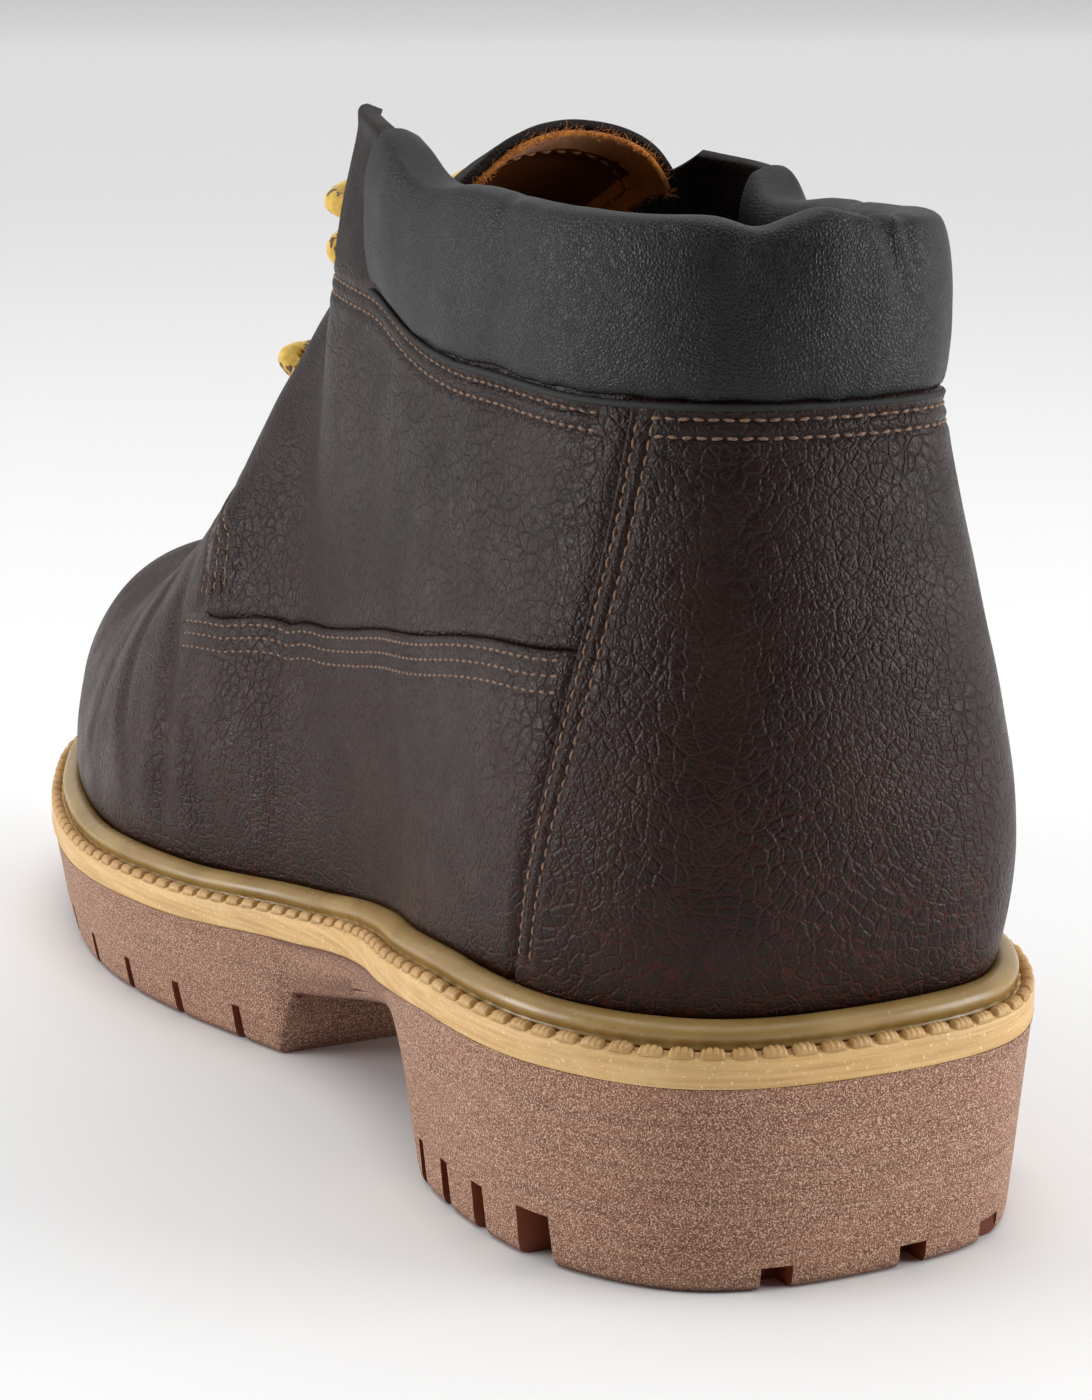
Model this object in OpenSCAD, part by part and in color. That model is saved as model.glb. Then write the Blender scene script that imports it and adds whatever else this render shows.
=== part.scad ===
/* [Sole] */
// Length of the sole from heel to toe
boot_l = 312; // [306:1:318]
// Width of the sole across the forefoot
sole_w = 117; // [113:1:121]
// Thickness of the tan rim layer
rim_t = 5; // [4.5:0.5:6]
// Distance that the rim stands out from the foot of the upper
rim_out = 6.5; // [6:0.25:7]
// Height of the welt above the rim
welt_h = 6.5; // [6:0.25:7]
// Distance that the tread block stands in from the rim
sole_taper = 2; // [1:0.25:2.5]
// Depth of the tread grooves
groove_d = 7; // [5:0.5:8]

/* [Upper] */
// Thickness of the outer leather
leather_t = 2; // [1.8:0.1:2.2]
// Thickness of the lining leather
lining_t = 1.2; // [1:0.1:1.3]
// Thickness of the steel toe cap
cap_t = 1.6; // [1.5:0.1:1.8]
// Gap between neighbouring panels
seam_gap = 0.4; // [0.3:0.1:0.6]
// Thickness of the padded collar
collar_t = 13; // [12:0.5:14]
// Diameter of the lace
lace_d = 4; // [3.5:0.1:4]

/* [Footbed] */
// Thickness of the footbed foam
foam_t = 4; // [3:0.5:4.5]
// Clearance between the footbed and the lining
footbed_gap = 2.5; // [2:0.25:3]

/* [Hidden] */
$fn = 48;

// Shape of the last: knots run from the back of the heel round one side to the toe.
// Foot of the upper on the medial side, as [x, distance from the back]
foot_medial = [[0, 8], [24, 13], [38, 31], [42, 55], [40, 80], [36, 100], [35, 118],
    [38, 138], [44, 158], [49.5, 180], [52, 204], [49.5, 231], [41.5, 260], [27, 287], [0, 303.5]];
// The same on the lateral side
foot_lateral = [[0, 8], [24.5, 12], [38.5, 30], [42.5, 54], [41.5, 78], [41.5, 98], [42.5, 116],
    [45, 136], [49, 157], [52, 179], [52.5, 204], [50, 232], [42.5, 261], [27.5, 288], [0, 303.5]];
// Height of the rim's top along the boot, as [distance from the back, height]
rim_z = [[0, 38.5], [60, 38.5], [95, 34.5], [130, 29.5], [165, 26.5], [215, 25], [255, 26], [312, 30]];
// Height of the tread along the boot, with the arch behind the heel block
tread_z = [[0, 1.5], [5, 0], [72, 0], [74, 5], [78, 14], [82, 21], [86, 23], [92, 23], [101, 21],
    [123, 15.5], [139, 12], [140, 0], [215, 0], [240, 1.5], [275, 5.5], [300, 10.5], [312, 15]];
// Top of each rib: the ankle line, then the ridge over the instep down to the toe
crest = [[0, 17, 158], [18, 22, 158], [29, 40, 158.5], [32, 64, 160], [32.5, 90, 163],
    [31, 112, 169], [24, 136, 173], [0, 154, 172], [0, 171, 145], [0, 190, 119], [0, 211, 99],
    [0, 238, 83], [0, 264, 75.5], [0, 285, 65], [0, 300, 48]];
// Shift of the crest on the lateral side, where the collar and the tab stand lower and wider
lateral_shift = [[0, 0, 0], [0, 0, 0], [0, 0, -1], [1, 0, -2.5], [3, -3, -4.5], [8, -9.5, -7],
    [11, -13, -8.5], [0, 0, 0], [0, 0, 0], [0, 0, 0], [0, 0, 0], [0, 0, 0], [0, 0, 0], [0, 0, 0], [0, 0, 0]];
// Lower handle of each rib, from the foot
handle_low = [[0, -10, 32], [6, -8, 32], [8, -2, 34], [4, 0, 40], [3, 0, 40], [3, 0, 40],
    [4, 2, 38], [5, 3, 36], [6, 3, 31], [5, 3, 27], [4.5, 3, 24], [2.5, 3, 22], [0, 3, 18],
    [4.5, 4, 12], [0, 1, 4]];
// Upper handle of each rib, from the crest
handle_high = [[0, 3, -40], [-2, 2, -40], [-3, 1, -42], [-2, 0, -44], [1, 4, -46], [2, 10, -46],
    [10, 13, -41], [28, 12, -29], [37, 11, -18], [36.5, 9, -12], [34.5, 5, -6], [32.5, 3, -3],
    [32, 2, 4], [20, 3, 2], [0, 2, -4]];
knots = len(crest) - 1;

// A point of the boot from its medial offset, its distance from the back and its height
function at(p) = [p[0] * sole_w / 117, boot_l / 2 - p[1] * boot_l / 312, p[2]];
function mirrored(p) = [-p[0], p[1], p[2]];
function smooth(a, b, c, d, f) =
    0.5 * (2 * b + (c - a) * f + (2 * a - 5 * b + 4 * c - d) * f * f
    + (3 * b - a - 3 * c + d) * f * f * f);
// Knots before the first and after the last are the mirror images of their neighbours
function knot(list, i) =
    i < 0 ? mirrored(list[-i]) : i > knots ? mirrored(list[2 * knots - i]) : list[i];
function along(list, k) = let (i = min(floor(k), knots - 1))
    smooth(knot(list, i - 1), list[i], list[i + 1], knot(list, i + 2), k - i);
function on_welt(list) = [for (p = list) [p[0], p[1], lookup(p[1], rim_z) + welt_h]];
foot_m = on_welt(foot_medial);
foot_l = on_welt(foot_lateral);

// Bare surface of the upper: q counts knots from the back, negative on the lateral side
function rib(q, v) = let (
    k = abs(q),
    side = q < 0 ? -1 : 1,
    foot = along(q < 0 ? foot_l : foot_m, k),
    top = along(crest, k) + (q < 0 ? along(lateral_shift, k) : [0, 0, 0]),
    low = foot + along(handle_low, k),
    high = top + along(handle_high, k),
    u = 1 - v,
    p = foot * u * u * u + 3 * low * v * u * u + 3 * high * v * v * u + top * v * v * v
) [side * p[0], p[1], p[2]];
step = 0.02;
function unit(a) = a / norm(a);
function outward(q, v) = let (
    q0 = abs(q) > knots - step ? (q < 0 ? -knots : knots - step) : q,
    v0 = min(max(v, 0), 1 - step),
    across = at(rib(q0 + step, v0)) - at(rib(q0, v0)),
    up = at(rib(q0, v0 + step)) - at(rib(q0, v0)),
    n = unit(cross(up, across))
) abs(q) >= knots ? unit([0, n[1], n[2]]) : v >= 1 && abs(q) >= 7 ? unit([0, n[1], n[2]]) : n;
// Point at depth d below the surface
function skin(q, v, d) = at(rib(q, v)) - d * outward(q, v);

// Shell between two layers of points on a grid of m by n cells. Cells that are not present
// leave a hole. "round" joins the last row to the first one, and "closed_tip" joins the two
// halves of the last column, as at the toe.
function shell_faces(m, n, present, round, closed_tip, flip) = let (
    rows = n + 1,
    size = (m + 1) * rows,
    row = function (i, j) round ? j % n : closed_tip && i == m ? max(j, n - j) : j,
    id = function (i, j, layer) layer * size + i * rows + row(i, j),
    quad = function (a, b, c, d) flip ? [[a, b, c], [a, c, d]] : [[a, c, b], [a, d, c]],
    open = function (i, j) i < 0 || i >= m || (!round && (j < 0 || j >= n))
        || !present(i, round ? (j + n) % n : j)
) [for (i = [0:m - 1], j = [0:n - 1]) if (present(i, j)) each concat(
    quad(id(i, j, 0), id(i, j + 1, 0), id(i + 1, j + 1, 0), id(i + 1, j, 0)),
    quad(id(i, j, 1), id(i + 1, j, 1), id(i + 1, j + 1, 1), id(i, j + 1, 1)),
    open(i, j - 1) ? quad(id(i, j, 0), id(i + 1, j, 0), id(i + 1, j, 1), id(i, j, 1)) : [],
    open(i, j + 1) ? quad(id(i, j + 1, 0), id(i, j + 1, 1), id(i + 1, j + 1, 1), id(i + 1, j + 1, 0)) : [],
    open(i - 1, j) ? quad(id(i, j, 0), id(i, j, 1), id(i, j + 1, 1), id(i, j + 1, 0)) : [],
    open(i + 1, j) && !(closed_tip && i == m - 1)
        ? quad(id(i + 1, j, 0), id(i + 1, j + 1, 0), id(i + 1, j + 1, 1), id(i + 1, j, 1)) : [])];
everywhere = function (i, j) true;
module shell(m, n, point, present = everywhere, round = false, closed_tip = false, flip = false) {
    points = [for (layer = [0, 1], i = [0:m], j = [0:n]) point(i / m, j / n, layer)];
    polyhedron(points, shell_faces(m, n, present, round, closed_tip, flip), convexity = 8);
}
function mix(a, b, f) = a + (b - a) * f;

// Solid tube through rings of points
function tube_faces(count, n, closed) = concat(
    [for (i = [0:count - (closed ? 1 : 2)], j = [0:n - 1]) let (
        a = i * n + j,
        b = i * n + (j + 1) % n,
        c = ((i + 1) % count) * n + (j + 1) % n,
        d = ((i + 1) % count) * n + j
    ) each [[a, c, b], [a, d, c]]],
    closed ? [] : [for (j = [1:n - 2]) each [
        [0, j, j + 1],
        [(count - 1) * n, (count - 1) * n + j + 1, (count - 1) * n + j]]]);
module tube(rings, closed = false)
    polyhedron([for (ring = rings) each ring], tube_faces(len(rings), len(rings[0]), closed),
        convexity = 8);

// Seams of the upper, as rib and share of the rib's length
function seam_q(v) = 2.45 - 1.45 * v + 0.5 * v * v;
wing_line = [[1.5, 0.48], [2, 0.47], [3, 0.43], [4.2, 0.394], [5.5, 0.357], [6.3, 0.34], [7, 0.33],
    [8, 0.378], [9.2, 0.455], [10, 0.48], [14, 0.5]];
collar_line = [[0, 0.79], [3.5, 0.79], [4.75, 0.81], [5, 0.81]];
// Seam under the tab, from the end of the collar to the throat
tab_line = [[5, 0.81], [6, 0.79], [7, 0.79]];
// Front edge of the quarter, from the wing line up to the tab
throat_q = [[0, 8.45], [0.25, 8.9], [0.45, 9], [0.65, 8.7], [0.85, 7.8], [0.95, 7.3], [1, 6.9]];
throat_v = [[0, 0.4], [0.25, 0.6], [0.45, 0.74], [0.65, 0.87], [0.85, 0.905], [0.95, 0.87], [1, 0.79]];

function ramp(k, start, end) = min(max((k - start) / (end - start), 0), 1);
// Depth of the lining: it passes inside the heel stiffener and the toe cap
function lining_d(q) = leather_t + 0.8
    + 2 * (1 - ramp(abs(q), 2.4, 3.2)) + (cap_t + 0.7) * ramp(abs(q), 10, 10.6);

// Outline of the foot of the upper, moved outward by d
function foot_at(q) = let (p = at(along(q < 0 ? foot_l : foot_m, abs(q)))) [q < 0 ? -p[0] : p[0], p[1]];
function outline_q(steps) = concat([for (i = [0:knots * steps]) i / steps],
    [for (i = [1:knots * steps - 1]) i / steps - knots]);
function outline(d, steps) = let (
    p = [for (q = outline_q(steps)) foot_at(q)],
    n = len(p)
) [for (i = [0:n - 1]) let (t = unit(p[(i + 1) % n] - p[(i + n - 1) % n])) p[i] + d * [-t[1], t[0]]];

// Slab of the boot between two lists of [distance from the back, height], cut to an outline
function raised(list, z) = [for (p = list) [p[0], p[1] + z]];
function backwards(list) = [for (i = [len(list) - 1:-1:0]) list[i]];
module slab(d, low, high) {
    side = [for (p = concat(low, backwards(high))) at([0, p[0], p[1]])];
    intersection() {
        linear_extrude(80) polygon(outline(d, 3));
        translate([-80, 0, 0]) rotate([90, 0, 90]) linear_extrude(160)
            polygon([for (p = side) [p[1], p[2]]]);
    }
}

// Tread grooves as [distance from the back, width]
heel_grooves = [[32.3, 7.7], [46.5, 4.4], [58, 3.6], [68.3, 3]];
fore_grooves = [for (i = [0:7]) [152.5 + 19 * i, 3.2]];
heel_extra = 1.5;
groove_in = 17;
groove_long = 60;
channel_x = 14;
channel_w = 4;
notch_x = [-26, -9.5, 14, 34];
module side_groove(s, w, top) {
    for (side = [-1, 1])
        translate([side * (groove_in + groove_long / 2), at([0, s, 0])[1], top - 20])
            cube([groove_long, w, 40], center = true);
}
module outsole() {
    color("saddlebrown") difference() {
        slab(rim_out - sole_taper, tread_z, raised(rim_z, -rim_t));
        for (g = heel_grooves) side_groove(g[0], g[1], groove_d + heel_extra);
        for (g = fore_grooves) side_groove(g[0], g[1], lookup(g[0], tread_z) + groove_d);
        // Notches across the back edge of the heel
        for (x = notch_x) translate([x, boot_l / 2 - 1, 0]) cube([5, 20, 4], center = true);
        // Channels between the side lugs and the middle lugs
        for (x = [-channel_x, channel_x]) {
            translate([x, at([0, 40, 0])[1], 0]) cube([channel_w, 50, 2 * groove_d], center = true);
            translate([x, at([0, 222, 0])[1], 0]) cube([channel_w, 156, 2 * (groove_d + 1)], center = true);
        }
        for (s = [162:19:276]) translate([0, at([0, s, 0])[1], 0])
            cube([2 * channel_x, 3.5, 2 * (groove_d + lookup(s, tread_z))], center = true);
    }
}
module midsole() {
    color("burlywood") slab(rim_out, raised(rim_z, -rim_t), rim_z);
}
// Section of the welt, as [distance outward, height above the rim]: flat strip, groove and bead
welt_section = [[-0.8, 0], [5.8, 0], [5.8, 1.4], [3.8, 1.8], [4.1, 3.4], [3, 5.4], [1, 6.2], [-0.8, 6]];
module welt() {
    lines = [for (p = welt_section) outline(p[0], 4)];
    color("peru") tube([for (i = [0:len(lines[0]) - 1]) [for (j = [0:len(welt_section) - 1]) let (
        p = lines[j][i],
        s = (boot_l / 2 - p[1]) * 312 / boot_l
    ) [p[0], p[1], lookup(s, rim_z) + welt_section[j][1] * welt_h / 6.5]]], closed = true);
}
board_t = 2.4;
board_inset = 1.4;
module filler() {
    color("tan") difference() {
        slab(-board_inset, rim_z, raised(rim_z, welt_h - board_t - 1.2));
        shank_shape(0.2);
    }
}
shank_w = 16;
shank_t = 1.4;
module shank_shape(extra) {
    low = [for (s = [70, 95, 130, 165]) [s, lookup(s, rim_z) + 1 - extra]];
    side = [for (p = concat(low, backwards(raised(low, shank_t + 2 * extra)))) at([0, p[0], p[1]])];
    translate([-shank_w / 2 - extra, 0, 0]) rotate([90, 0, 90]) linear_extrude(shank_w + 2 * extra)
        polygon([for (p = side) [p[1], p[2]]]);
}
module shank() {
    color("silver") shank_shape(0);
}
module insole_board() {
    color("wheat") slab(-board_inset, raised(rim_z, welt_h - board_t - 1), raised(rim_z, welt_h - 1));
}

// Arch of cells from the lateral foot over the ridge to the medial foot
function arch_q(side, k) = side < 0 ? -k : k;
cap_start = 11.1;
function toe_point(start, d, a, b) = let (w = 2 * b - 1)
    skin(arch_q(w, mix(start, knots, a)), 1 - abs(w), d);
under_leather = leather_t + 0.5;
module toe_cap() {
    color("lightgray") shell(12, 20, function (a, b, layer)
        toe_point(cap_start, under_leather + layer * cap_t, a, b), closed_tip = true, flip = true);
}
edge_strip = 0.35;
module toe_cap_edge() {
    color("dimgray") shell(1, 20, function (a, b, layer) let (w = 2 * b - 1)
        skin(arch_q(w, cap_start - 0.04 - edge_strip * (1 - a)), 1 - abs(w), under_leather + layer * cap_t),
        flip = true);
}
stiffener_t = 1.5;
module heel_stiffener() {
    color("tan") shell(18, 8, function (a, b, layer)
        skin(mix(-2.2, 2.2, a), mix(0.01, 0.62, b), under_leather + layer * stiffener_t));
}

// Vamp: arch over the toe with a wing along each side, back to the seams of the heel cover
vamp_cells = 14;
wing_cells = 13;
vamp_rows = 20;
wing_rows = 5;
// Back edge of the vamp over the instep, just in front of the quarters and the tongue
vamp_edge = [[0.4, 8.55], [0.6, 9.02], [0.76, 9.12], [0.9, 9.2], [1, 9.3]];
module vamp() {
    m = vamp_cells + wing_cells;
    function q_at(i, v) = let (k0 = seam_q(v) + 0.04, k1 = lookup(v, vamp_edge))
        i <= wing_cells ? mix(k0, k1, pow(i / wing_cells, 1.2))
        : mix(k1, knots, (i - wing_cells) / vamp_cells);
    function v_at(k, r) = let (vw = lookup(k, wing_line))
        r <= wing_rows ? vw * r / wing_rows
        : mix(vw, 1, (r - wing_rows) / (vamp_rows / 2 - wing_rows));
    color([0.24, 0.17, 0.15]) shell(m, vamp_rows, function (a, b, layer) let (
        i = round(a * m),
        j = round(b * vamp_rows),
        r = min(j, vamp_rows - j),
        k = q_at(i, v_at(q_at(i, 0.4), r)),
        v = v_at(k, r)
    ) skin(j < vamp_rows / 2 ? -k : k, v, layer * leather_t),
        present = function (i, j) i >= wing_cells || min(j, vamp_rows - 1 - j) < wing_rows,
        closed_tip = true, flip = true);
}
// Eyelets, as rib and share of the rib
eyelet_seats = [[8.4, 0.81], [7.55, 0.825], [6.35, 0.84]];
eyelet_bore = 2.4;
eyelet_barrel = 3;
module on_skin(q, v) {
    n = outward(q, v);
    translate(skin(q, v, 0)) rotate([0, acos(n[2]), atan2(n[1], n[0])]) children();
}
module with_eyelet_holes(side, first, last) {
    difference() {
        children();
        for (i = [first:last]) on_skin(side * eyelet_seats[i][0], eyelet_seats[i][1])
            cylinder(r = eyelet_barrel + 0.1, h = 12, center = true);
    }
}
module quarter(side) {
    gap = seam_gap / 25;
    low = throat_v[0][1];
    high = throat_v[6][1];
    color([0.26, 0.19, 0.17]) with_eyelet_holes(side, 0, 1)
        shell(14, 14, function (a, b, layer) let (
            q0 = mix(seam_q(lookup(2, wing_line)) + 0.04, throat_q[0][1], a),
            q1 = mix(seam_q(collar_line[0][1]) + 0.04, throat_q[6][1], a),
            v = mix(lookup(q0, wing_line) + gap, lookup(q1, concat(collar_line, tab_line)) - gap, b)
                + pow(a, 3) * (lookup(b, throat_v) - mix(low, high, b)),
            q = mix(seam_q(v) + 0.04, lookup(b, throat_q), a)
        ) skin(side * q, v, layer * leather_t), flip = side < 0);
}
module quarter_medial() quarter(1);
module quarter_lateral() quarter(-1);
module counter_cover() {
    color([0.23, 0.16, 0.14]) shell(16, 12, function (a, b, layer) let (v = 0.79 * b)
        skin(mix(-seam_q(v) + 0.02, seam_q(v) - 0.02, a), v, layer * leather_t));
}
// Tab that carries the top eyelet, in front of the end of the collar
module eyestay(side) {
    color([0.22, 0.15, 0.13]) with_eyelet_holes(side, 2, 2)
        shell(6, 8, function (a, b, layer) let (
            front = mix(6.85, 6, b),
            v = mix(lookup(mix(5, front, a), tab_line) + 0.01, 1, b),
            q = mix(collar_end + 0.04, front, a)
        ) skin(side * q, v, layer * leather_t), flip = side < 0);
}
module eyestay_medial() eyestay(1);
module eyestay_lateral() eyestay(-1);

// Linings
module vamp_lining() {
    color("tan") shell(12, 16, function (a, b, layer) let (
        w = 2 * b - 1,
        k = mix(9.3, knots, a)
    ) skin(arch_q(w, k), mix(0.02, 1, 1 - abs(w)), lining_d(k) + layer * lining_t),
        closed_tip = true, flip = true);
}
module quarter_lining() {
    color("goldenrod") shell(36, 8, function (a, b, layer) let (
        q = mix(-9.2, 9.2, a),
        top = abs(q) < 5.5 ? 0.77 : mix(0.77, 0.5, (abs(q) - 5.5) / 3.7)
    ) skin(q, mix(0.02, top, b), lining_d(q) + layer * lining_t));
}

// Padded collar: outline across it as [share of the rib, depth, extra height]
collar_end = 5;
collar_section = [[0.793, 0.2, 0], [0.84, -2.6, 0], [0.9, -3.8, 0], [0.96, -3.4, 0], [1, -1.2, 1.5],
    [1, 2.5, 2], [1, 6, 0.5], [0.95, 8, 0], [0.88, 7.5, 0], [0.82, 4.5, 0]];
collar_skin = 1.2;
function collar_point(q, j, inset) = let (
    c = collar_section[j],
    middle = skin(q, 0.905, 1.5),
    p = skin(q, min(c[0] + (lookup(abs(q), collar_line) - 0.79) * (1 - c[0]) * 5, 1), c[1] * collar_t / 13)
        + [0, 0, c[2]]
) p - inset * unit(p - middle);
module collar_cover() {
    n = len(collar_section);
    color([0.23, 0.23, 0.24]) shell(36, n, function (a, b, layer)
        collar_point(mix(-collar_end, collar_end, a), round(b * n) % n, layer * collar_skin), round = true);
}
module collar_foam() {
    n = len(collar_section);
    color("khaki") tube([for (i = [0:36]) [for (j = [0:n - 1])
        collar_point(mix(-collar_end, collar_end, i / 36), j, collar_skin + 0.2)]]);
}

// Tongue: an arc around a line that climbs the instep, as [share, offset, distance, height]
tongue_line = [[0, 0, 204, 94], [0.15, 0, 193, 103], [0.3, 0, 180, 116], [0.48, 0, 168, 132],
    [0.64, -2, 157, 147], [0.78, -4, 145, 157], [0.9, -8, 135, 166], [1, -11, 126, 170.5]];
// The top of the tongue is wider than its base
function tongue_r(b) = 26 + 1.5 * ramp(b, 0.81, 0.95);
function tongue_half(b) = 50 + 4.5 * ramp(b, 0.81, 0.95);
tongue_t = 3.2;
function tongue_mid(b) = [for (c = [1:3]) lookup(b, [for (p = tongue_line) [p[0], p[c]]])];
function tongue_point(b, a, d) = let (
    low = tongue_mid(max(b - 0.08, 0)),
    high = tongue_mid(min(b + 0.08, 1)),
    t = unit([0, high[1] - low[1], high[2] - low[2]]),
    n = [0, t[2], -t[1]],
    r = tongue_r(b) - d
) at(tongue_mid(b) - tongue_r(b) * n + r * (sin(a) * [1, 0, 0] + cos(a) * n));
module tongue_part(start, end, d, t, m) {
    shell(m, 14, function (a, b, layer) let (share = mix(start, end, a))
        tongue_point(share, tongue_half(share) * (1 - 2 * b), d + layer * t), flip = true);
}
flap_start = 0.81;
module tongue_base() {
    color([0.25, 0.18, 0.16]) tongue_part(0, flap_start - 0.01, 0, tongue_t, 12);
}
module tongue_flap() {
    color([0.25, 0.18, 0.16]) tongue_part(flap_start, 1, 0, 1.8, 4);
}
module tongue_lining() {
    color("darkorange") tongue_part(flap_start, 1, 1.9, 1.3, 4);
}

module eyelets() {
    color("peru") for (e = eyelet_seats, side = [-1, 1]) on_skin(side * e[0], e[1])
        rotate_extrude() polygon([[eyelet_bore, 0.9], [eyelet_bore, -2.4], [eyelet_barrel, -2.4],
            [eyelet_barrel, 0.1], [eyelet_barrel + 1.4, 0.1], [eyelet_barrel + 1.2, 0.6],
            [eyelet_barrel + 0.3, 0.9]]);
}

// Lace: [offset, distance from the back, height] along the middle of the cord. It runs from the
// knot to the top medial eyelet, down to the bar between the bottom eyelets, and back up.
lace_route = [[2, 171, 153], [6.5, 169.5, 157], [11, 163, 159.5], [17, 155.5, 158.5], [25.5, 149, 155.5],
    [19.5, 143, 153.5], [12, 149.5, 154], [-2, 159, 151], [-9, 168.5, 151], [-17, 170, 145.5],
    [-12, 164, 140.5], [-8, 168.5, 138], [0, 175.5, 130.5], [10, 180, 121], [16.5, 178.5, 119],
    [21.5, 184, 124], [13, 187, 125], [0, 186.5, 123.5], [-13, 187, 125], [-22, 184, 124],
    [-17, 178.5, 119], [-10, 180, 121], [0, 178.5, 134.5], [8, 168.5, 138], [11.5, 164, 140.5],
    [17, 169.5, 145.5], [9, 168.5, 151], [-2, 162, 155], [-15, 149.5, 153.5], [-27, 136, 148],
    [-33, 139.5, 150], [-20.5, 152, 157], [-12, 162, 159.5], [-7, 168, 157], [-4, 170.5, 153.5]];
knot_at = [-2, 171, 150];
knot_r = 6;
loop_side = [[-6, 174.5, 150], [-11, 175, 147.5], [-17, 175.5, 143], [-23, 176, 136.5], [-28, 176.5, 128],
    [-33, 177, 118.5], [-37.5, 178, 109], [-41, 182.5, 101], [-41, 190.5, 97.5], [-37, 197, 101.5],
    [-32, 198.5, 110.5], [-27.5, 195, 120.5], [-22.5, 188, 130.5], [-17.5, 183.5, 138], [-12, 179.5, 143.5],
    [-7, 176.5, 147.5]];
loop_front = [[0.5, 173.5, 147], [2.5, 177, 143.5], [5.5, 181.5, 138.5], [7, 187.5, 132], [7.5, 194, 125],
    [6, 199.5, 119], [1.5, 203, 115], [-5, 203, 114.5], [-10, 199.5, 118.5], [-11, 192.5, 127], [-9.5, 186.5, 134.5],
    [-7, 181, 141], [-3, 176.5, 145]];
end_side = [[-6, 172.5, 154], [-12, 173, 153.5], [-18, 172, 150.5], [-23.5, 167, 143], [-28.5, 163.5, 134],
    [-33, 160.5, 124], [-37.5, 159, 113], [-41.5, 158, 102], [-44.5, 157.5, 92]];
end_front = [[-3, 176, 152], [-9, 181.5, 146.5], [-13.5, 186, 138.5], [-16.5, 190.5, 129.5],
    [-17.5, 195, 120], [-18, 200, 111], [-19.5, 206, 104.5], [-20.5, 213, 99], [-20, 221, 95.5]];
aglet_l = 16;
aglet_r = 1.6;
// Smooth line through a list of points, with the given number of pieces between neighbours
function through(p, pieces) = let (last = len(p) - 1) [for (i = [0:last * pieces]) let (
    k = min(floor(i / pieces), last - 1),
    before = k == 0 ? 2 * p[0] - p[1] : p[k - 1],
    after = k == last - 1 ? 2 * p[last] - p[last - 1] : p[k + 2]
) smooth(before, p[k], p[k + 1], after, i / pieces - k)];
function heading(line, i) = unit(line[min(i + 1, len(line) - 1)] - line[max(i - 1, 0)]);
// Directions across a line that turn with it and don't twist
function across(line, i, from) = let (
    t = heading(line, i),
    side = unit(from - (from * t) * t)
) i == len(line) - 1 ? [side] : concat([side], across(line, i + 1, side));
module cord(route, pieces) {
    line = through([for (p = route) at(p)], pieces);
    sides = across(line, 0, [0.3, 0.4, 0.8]);
    color("gold") tube([for (i = [0:len(line) - 1]) let (other = cross(heading(line, i), sides[i]))
        [for (j = [0:7]) line[i] + lace_d / 2 * (cos(45 * j) * sides[i] + sin(45 * j) * other)]]);
}
module lace() cord(lace_route, 2);
module lace_loop_side() cord(loop_side, 2);
module lace_loop_front() cord(loop_front, 2);
module lace_end_side() cord(end_side, 2);
module lace_end_front() cord(end_front, 2);
module lace_knot() {
    color("gold") translate(at(knot_at)) sphere(knot_r);
}
// Metal or plastic tip that closes the end of a lace, in line with its last stretch
module aglet(route) {
    last = len(route) - 1;
    t = unit(at(route[last]) - at(route[last - 1]));
    color("saddlebrown") translate(at(route[last])) rotate([0, acos(t[2]), atan2(t[1], t[0])])
        cylinder(r = aglet_r, h = aglet_l);
}
module aglet_side() aglet(end_side);
module aglet_front() aglet(end_front);

footbed_d = -(leather_t + lining_t + 2.4 + footbed_gap);
footbed_low = raised(rim_z, welt_h - 0.7);
module footbed_foam() {
    color("gray") slab(footbed_d, footbed_low, raised(footbed_low, foam_t));
}
module footbed_cloth() {
    color("darkslategray") slab(footbed_d, raised(footbed_low, foam_t), raised(footbed_low, foam_t + 1));
}

outsole();
midsole();
welt();
filler();
shank();
insole_board();
toe_cap();
toe_cap_edge();
heel_stiffener();
vamp();
quarter_medial();
quarter_lateral();
counter_cover();
eyestay_medial();
eyestay_lateral();
vamp_lining();
quarter_lining();
collar_cover();
collar_foam();
tongue_base();
tongue_flap();
tongue_lining();
eyelets();
lace();
lace_knot();
lace_loop_side();
lace_loop_front();
lace_end_side();
lace_end_front();
aglet_side();
aglet_front();
footbed_foam();
footbed_cloth();
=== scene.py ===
"""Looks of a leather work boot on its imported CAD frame. Metres, +Z up, toe towards -Y."""

import math

import bmesh
import bpy
import numpy as np
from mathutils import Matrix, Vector, noise
from mathutils.kdtree import KDTree


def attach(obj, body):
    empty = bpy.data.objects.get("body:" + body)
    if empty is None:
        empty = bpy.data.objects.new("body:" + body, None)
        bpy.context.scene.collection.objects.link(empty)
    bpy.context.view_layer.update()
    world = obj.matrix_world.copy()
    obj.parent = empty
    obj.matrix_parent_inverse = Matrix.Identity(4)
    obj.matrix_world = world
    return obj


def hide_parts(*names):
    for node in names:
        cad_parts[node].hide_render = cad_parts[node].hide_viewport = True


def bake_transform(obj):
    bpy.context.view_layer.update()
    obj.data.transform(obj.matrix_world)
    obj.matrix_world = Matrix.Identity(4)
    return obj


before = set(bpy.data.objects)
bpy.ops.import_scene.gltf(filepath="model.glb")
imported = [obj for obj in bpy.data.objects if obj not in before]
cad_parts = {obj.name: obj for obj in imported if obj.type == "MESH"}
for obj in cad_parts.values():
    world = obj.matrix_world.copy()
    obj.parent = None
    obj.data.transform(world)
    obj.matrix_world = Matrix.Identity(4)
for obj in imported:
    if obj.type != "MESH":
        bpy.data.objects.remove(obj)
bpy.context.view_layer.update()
MM = 0.001

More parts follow.
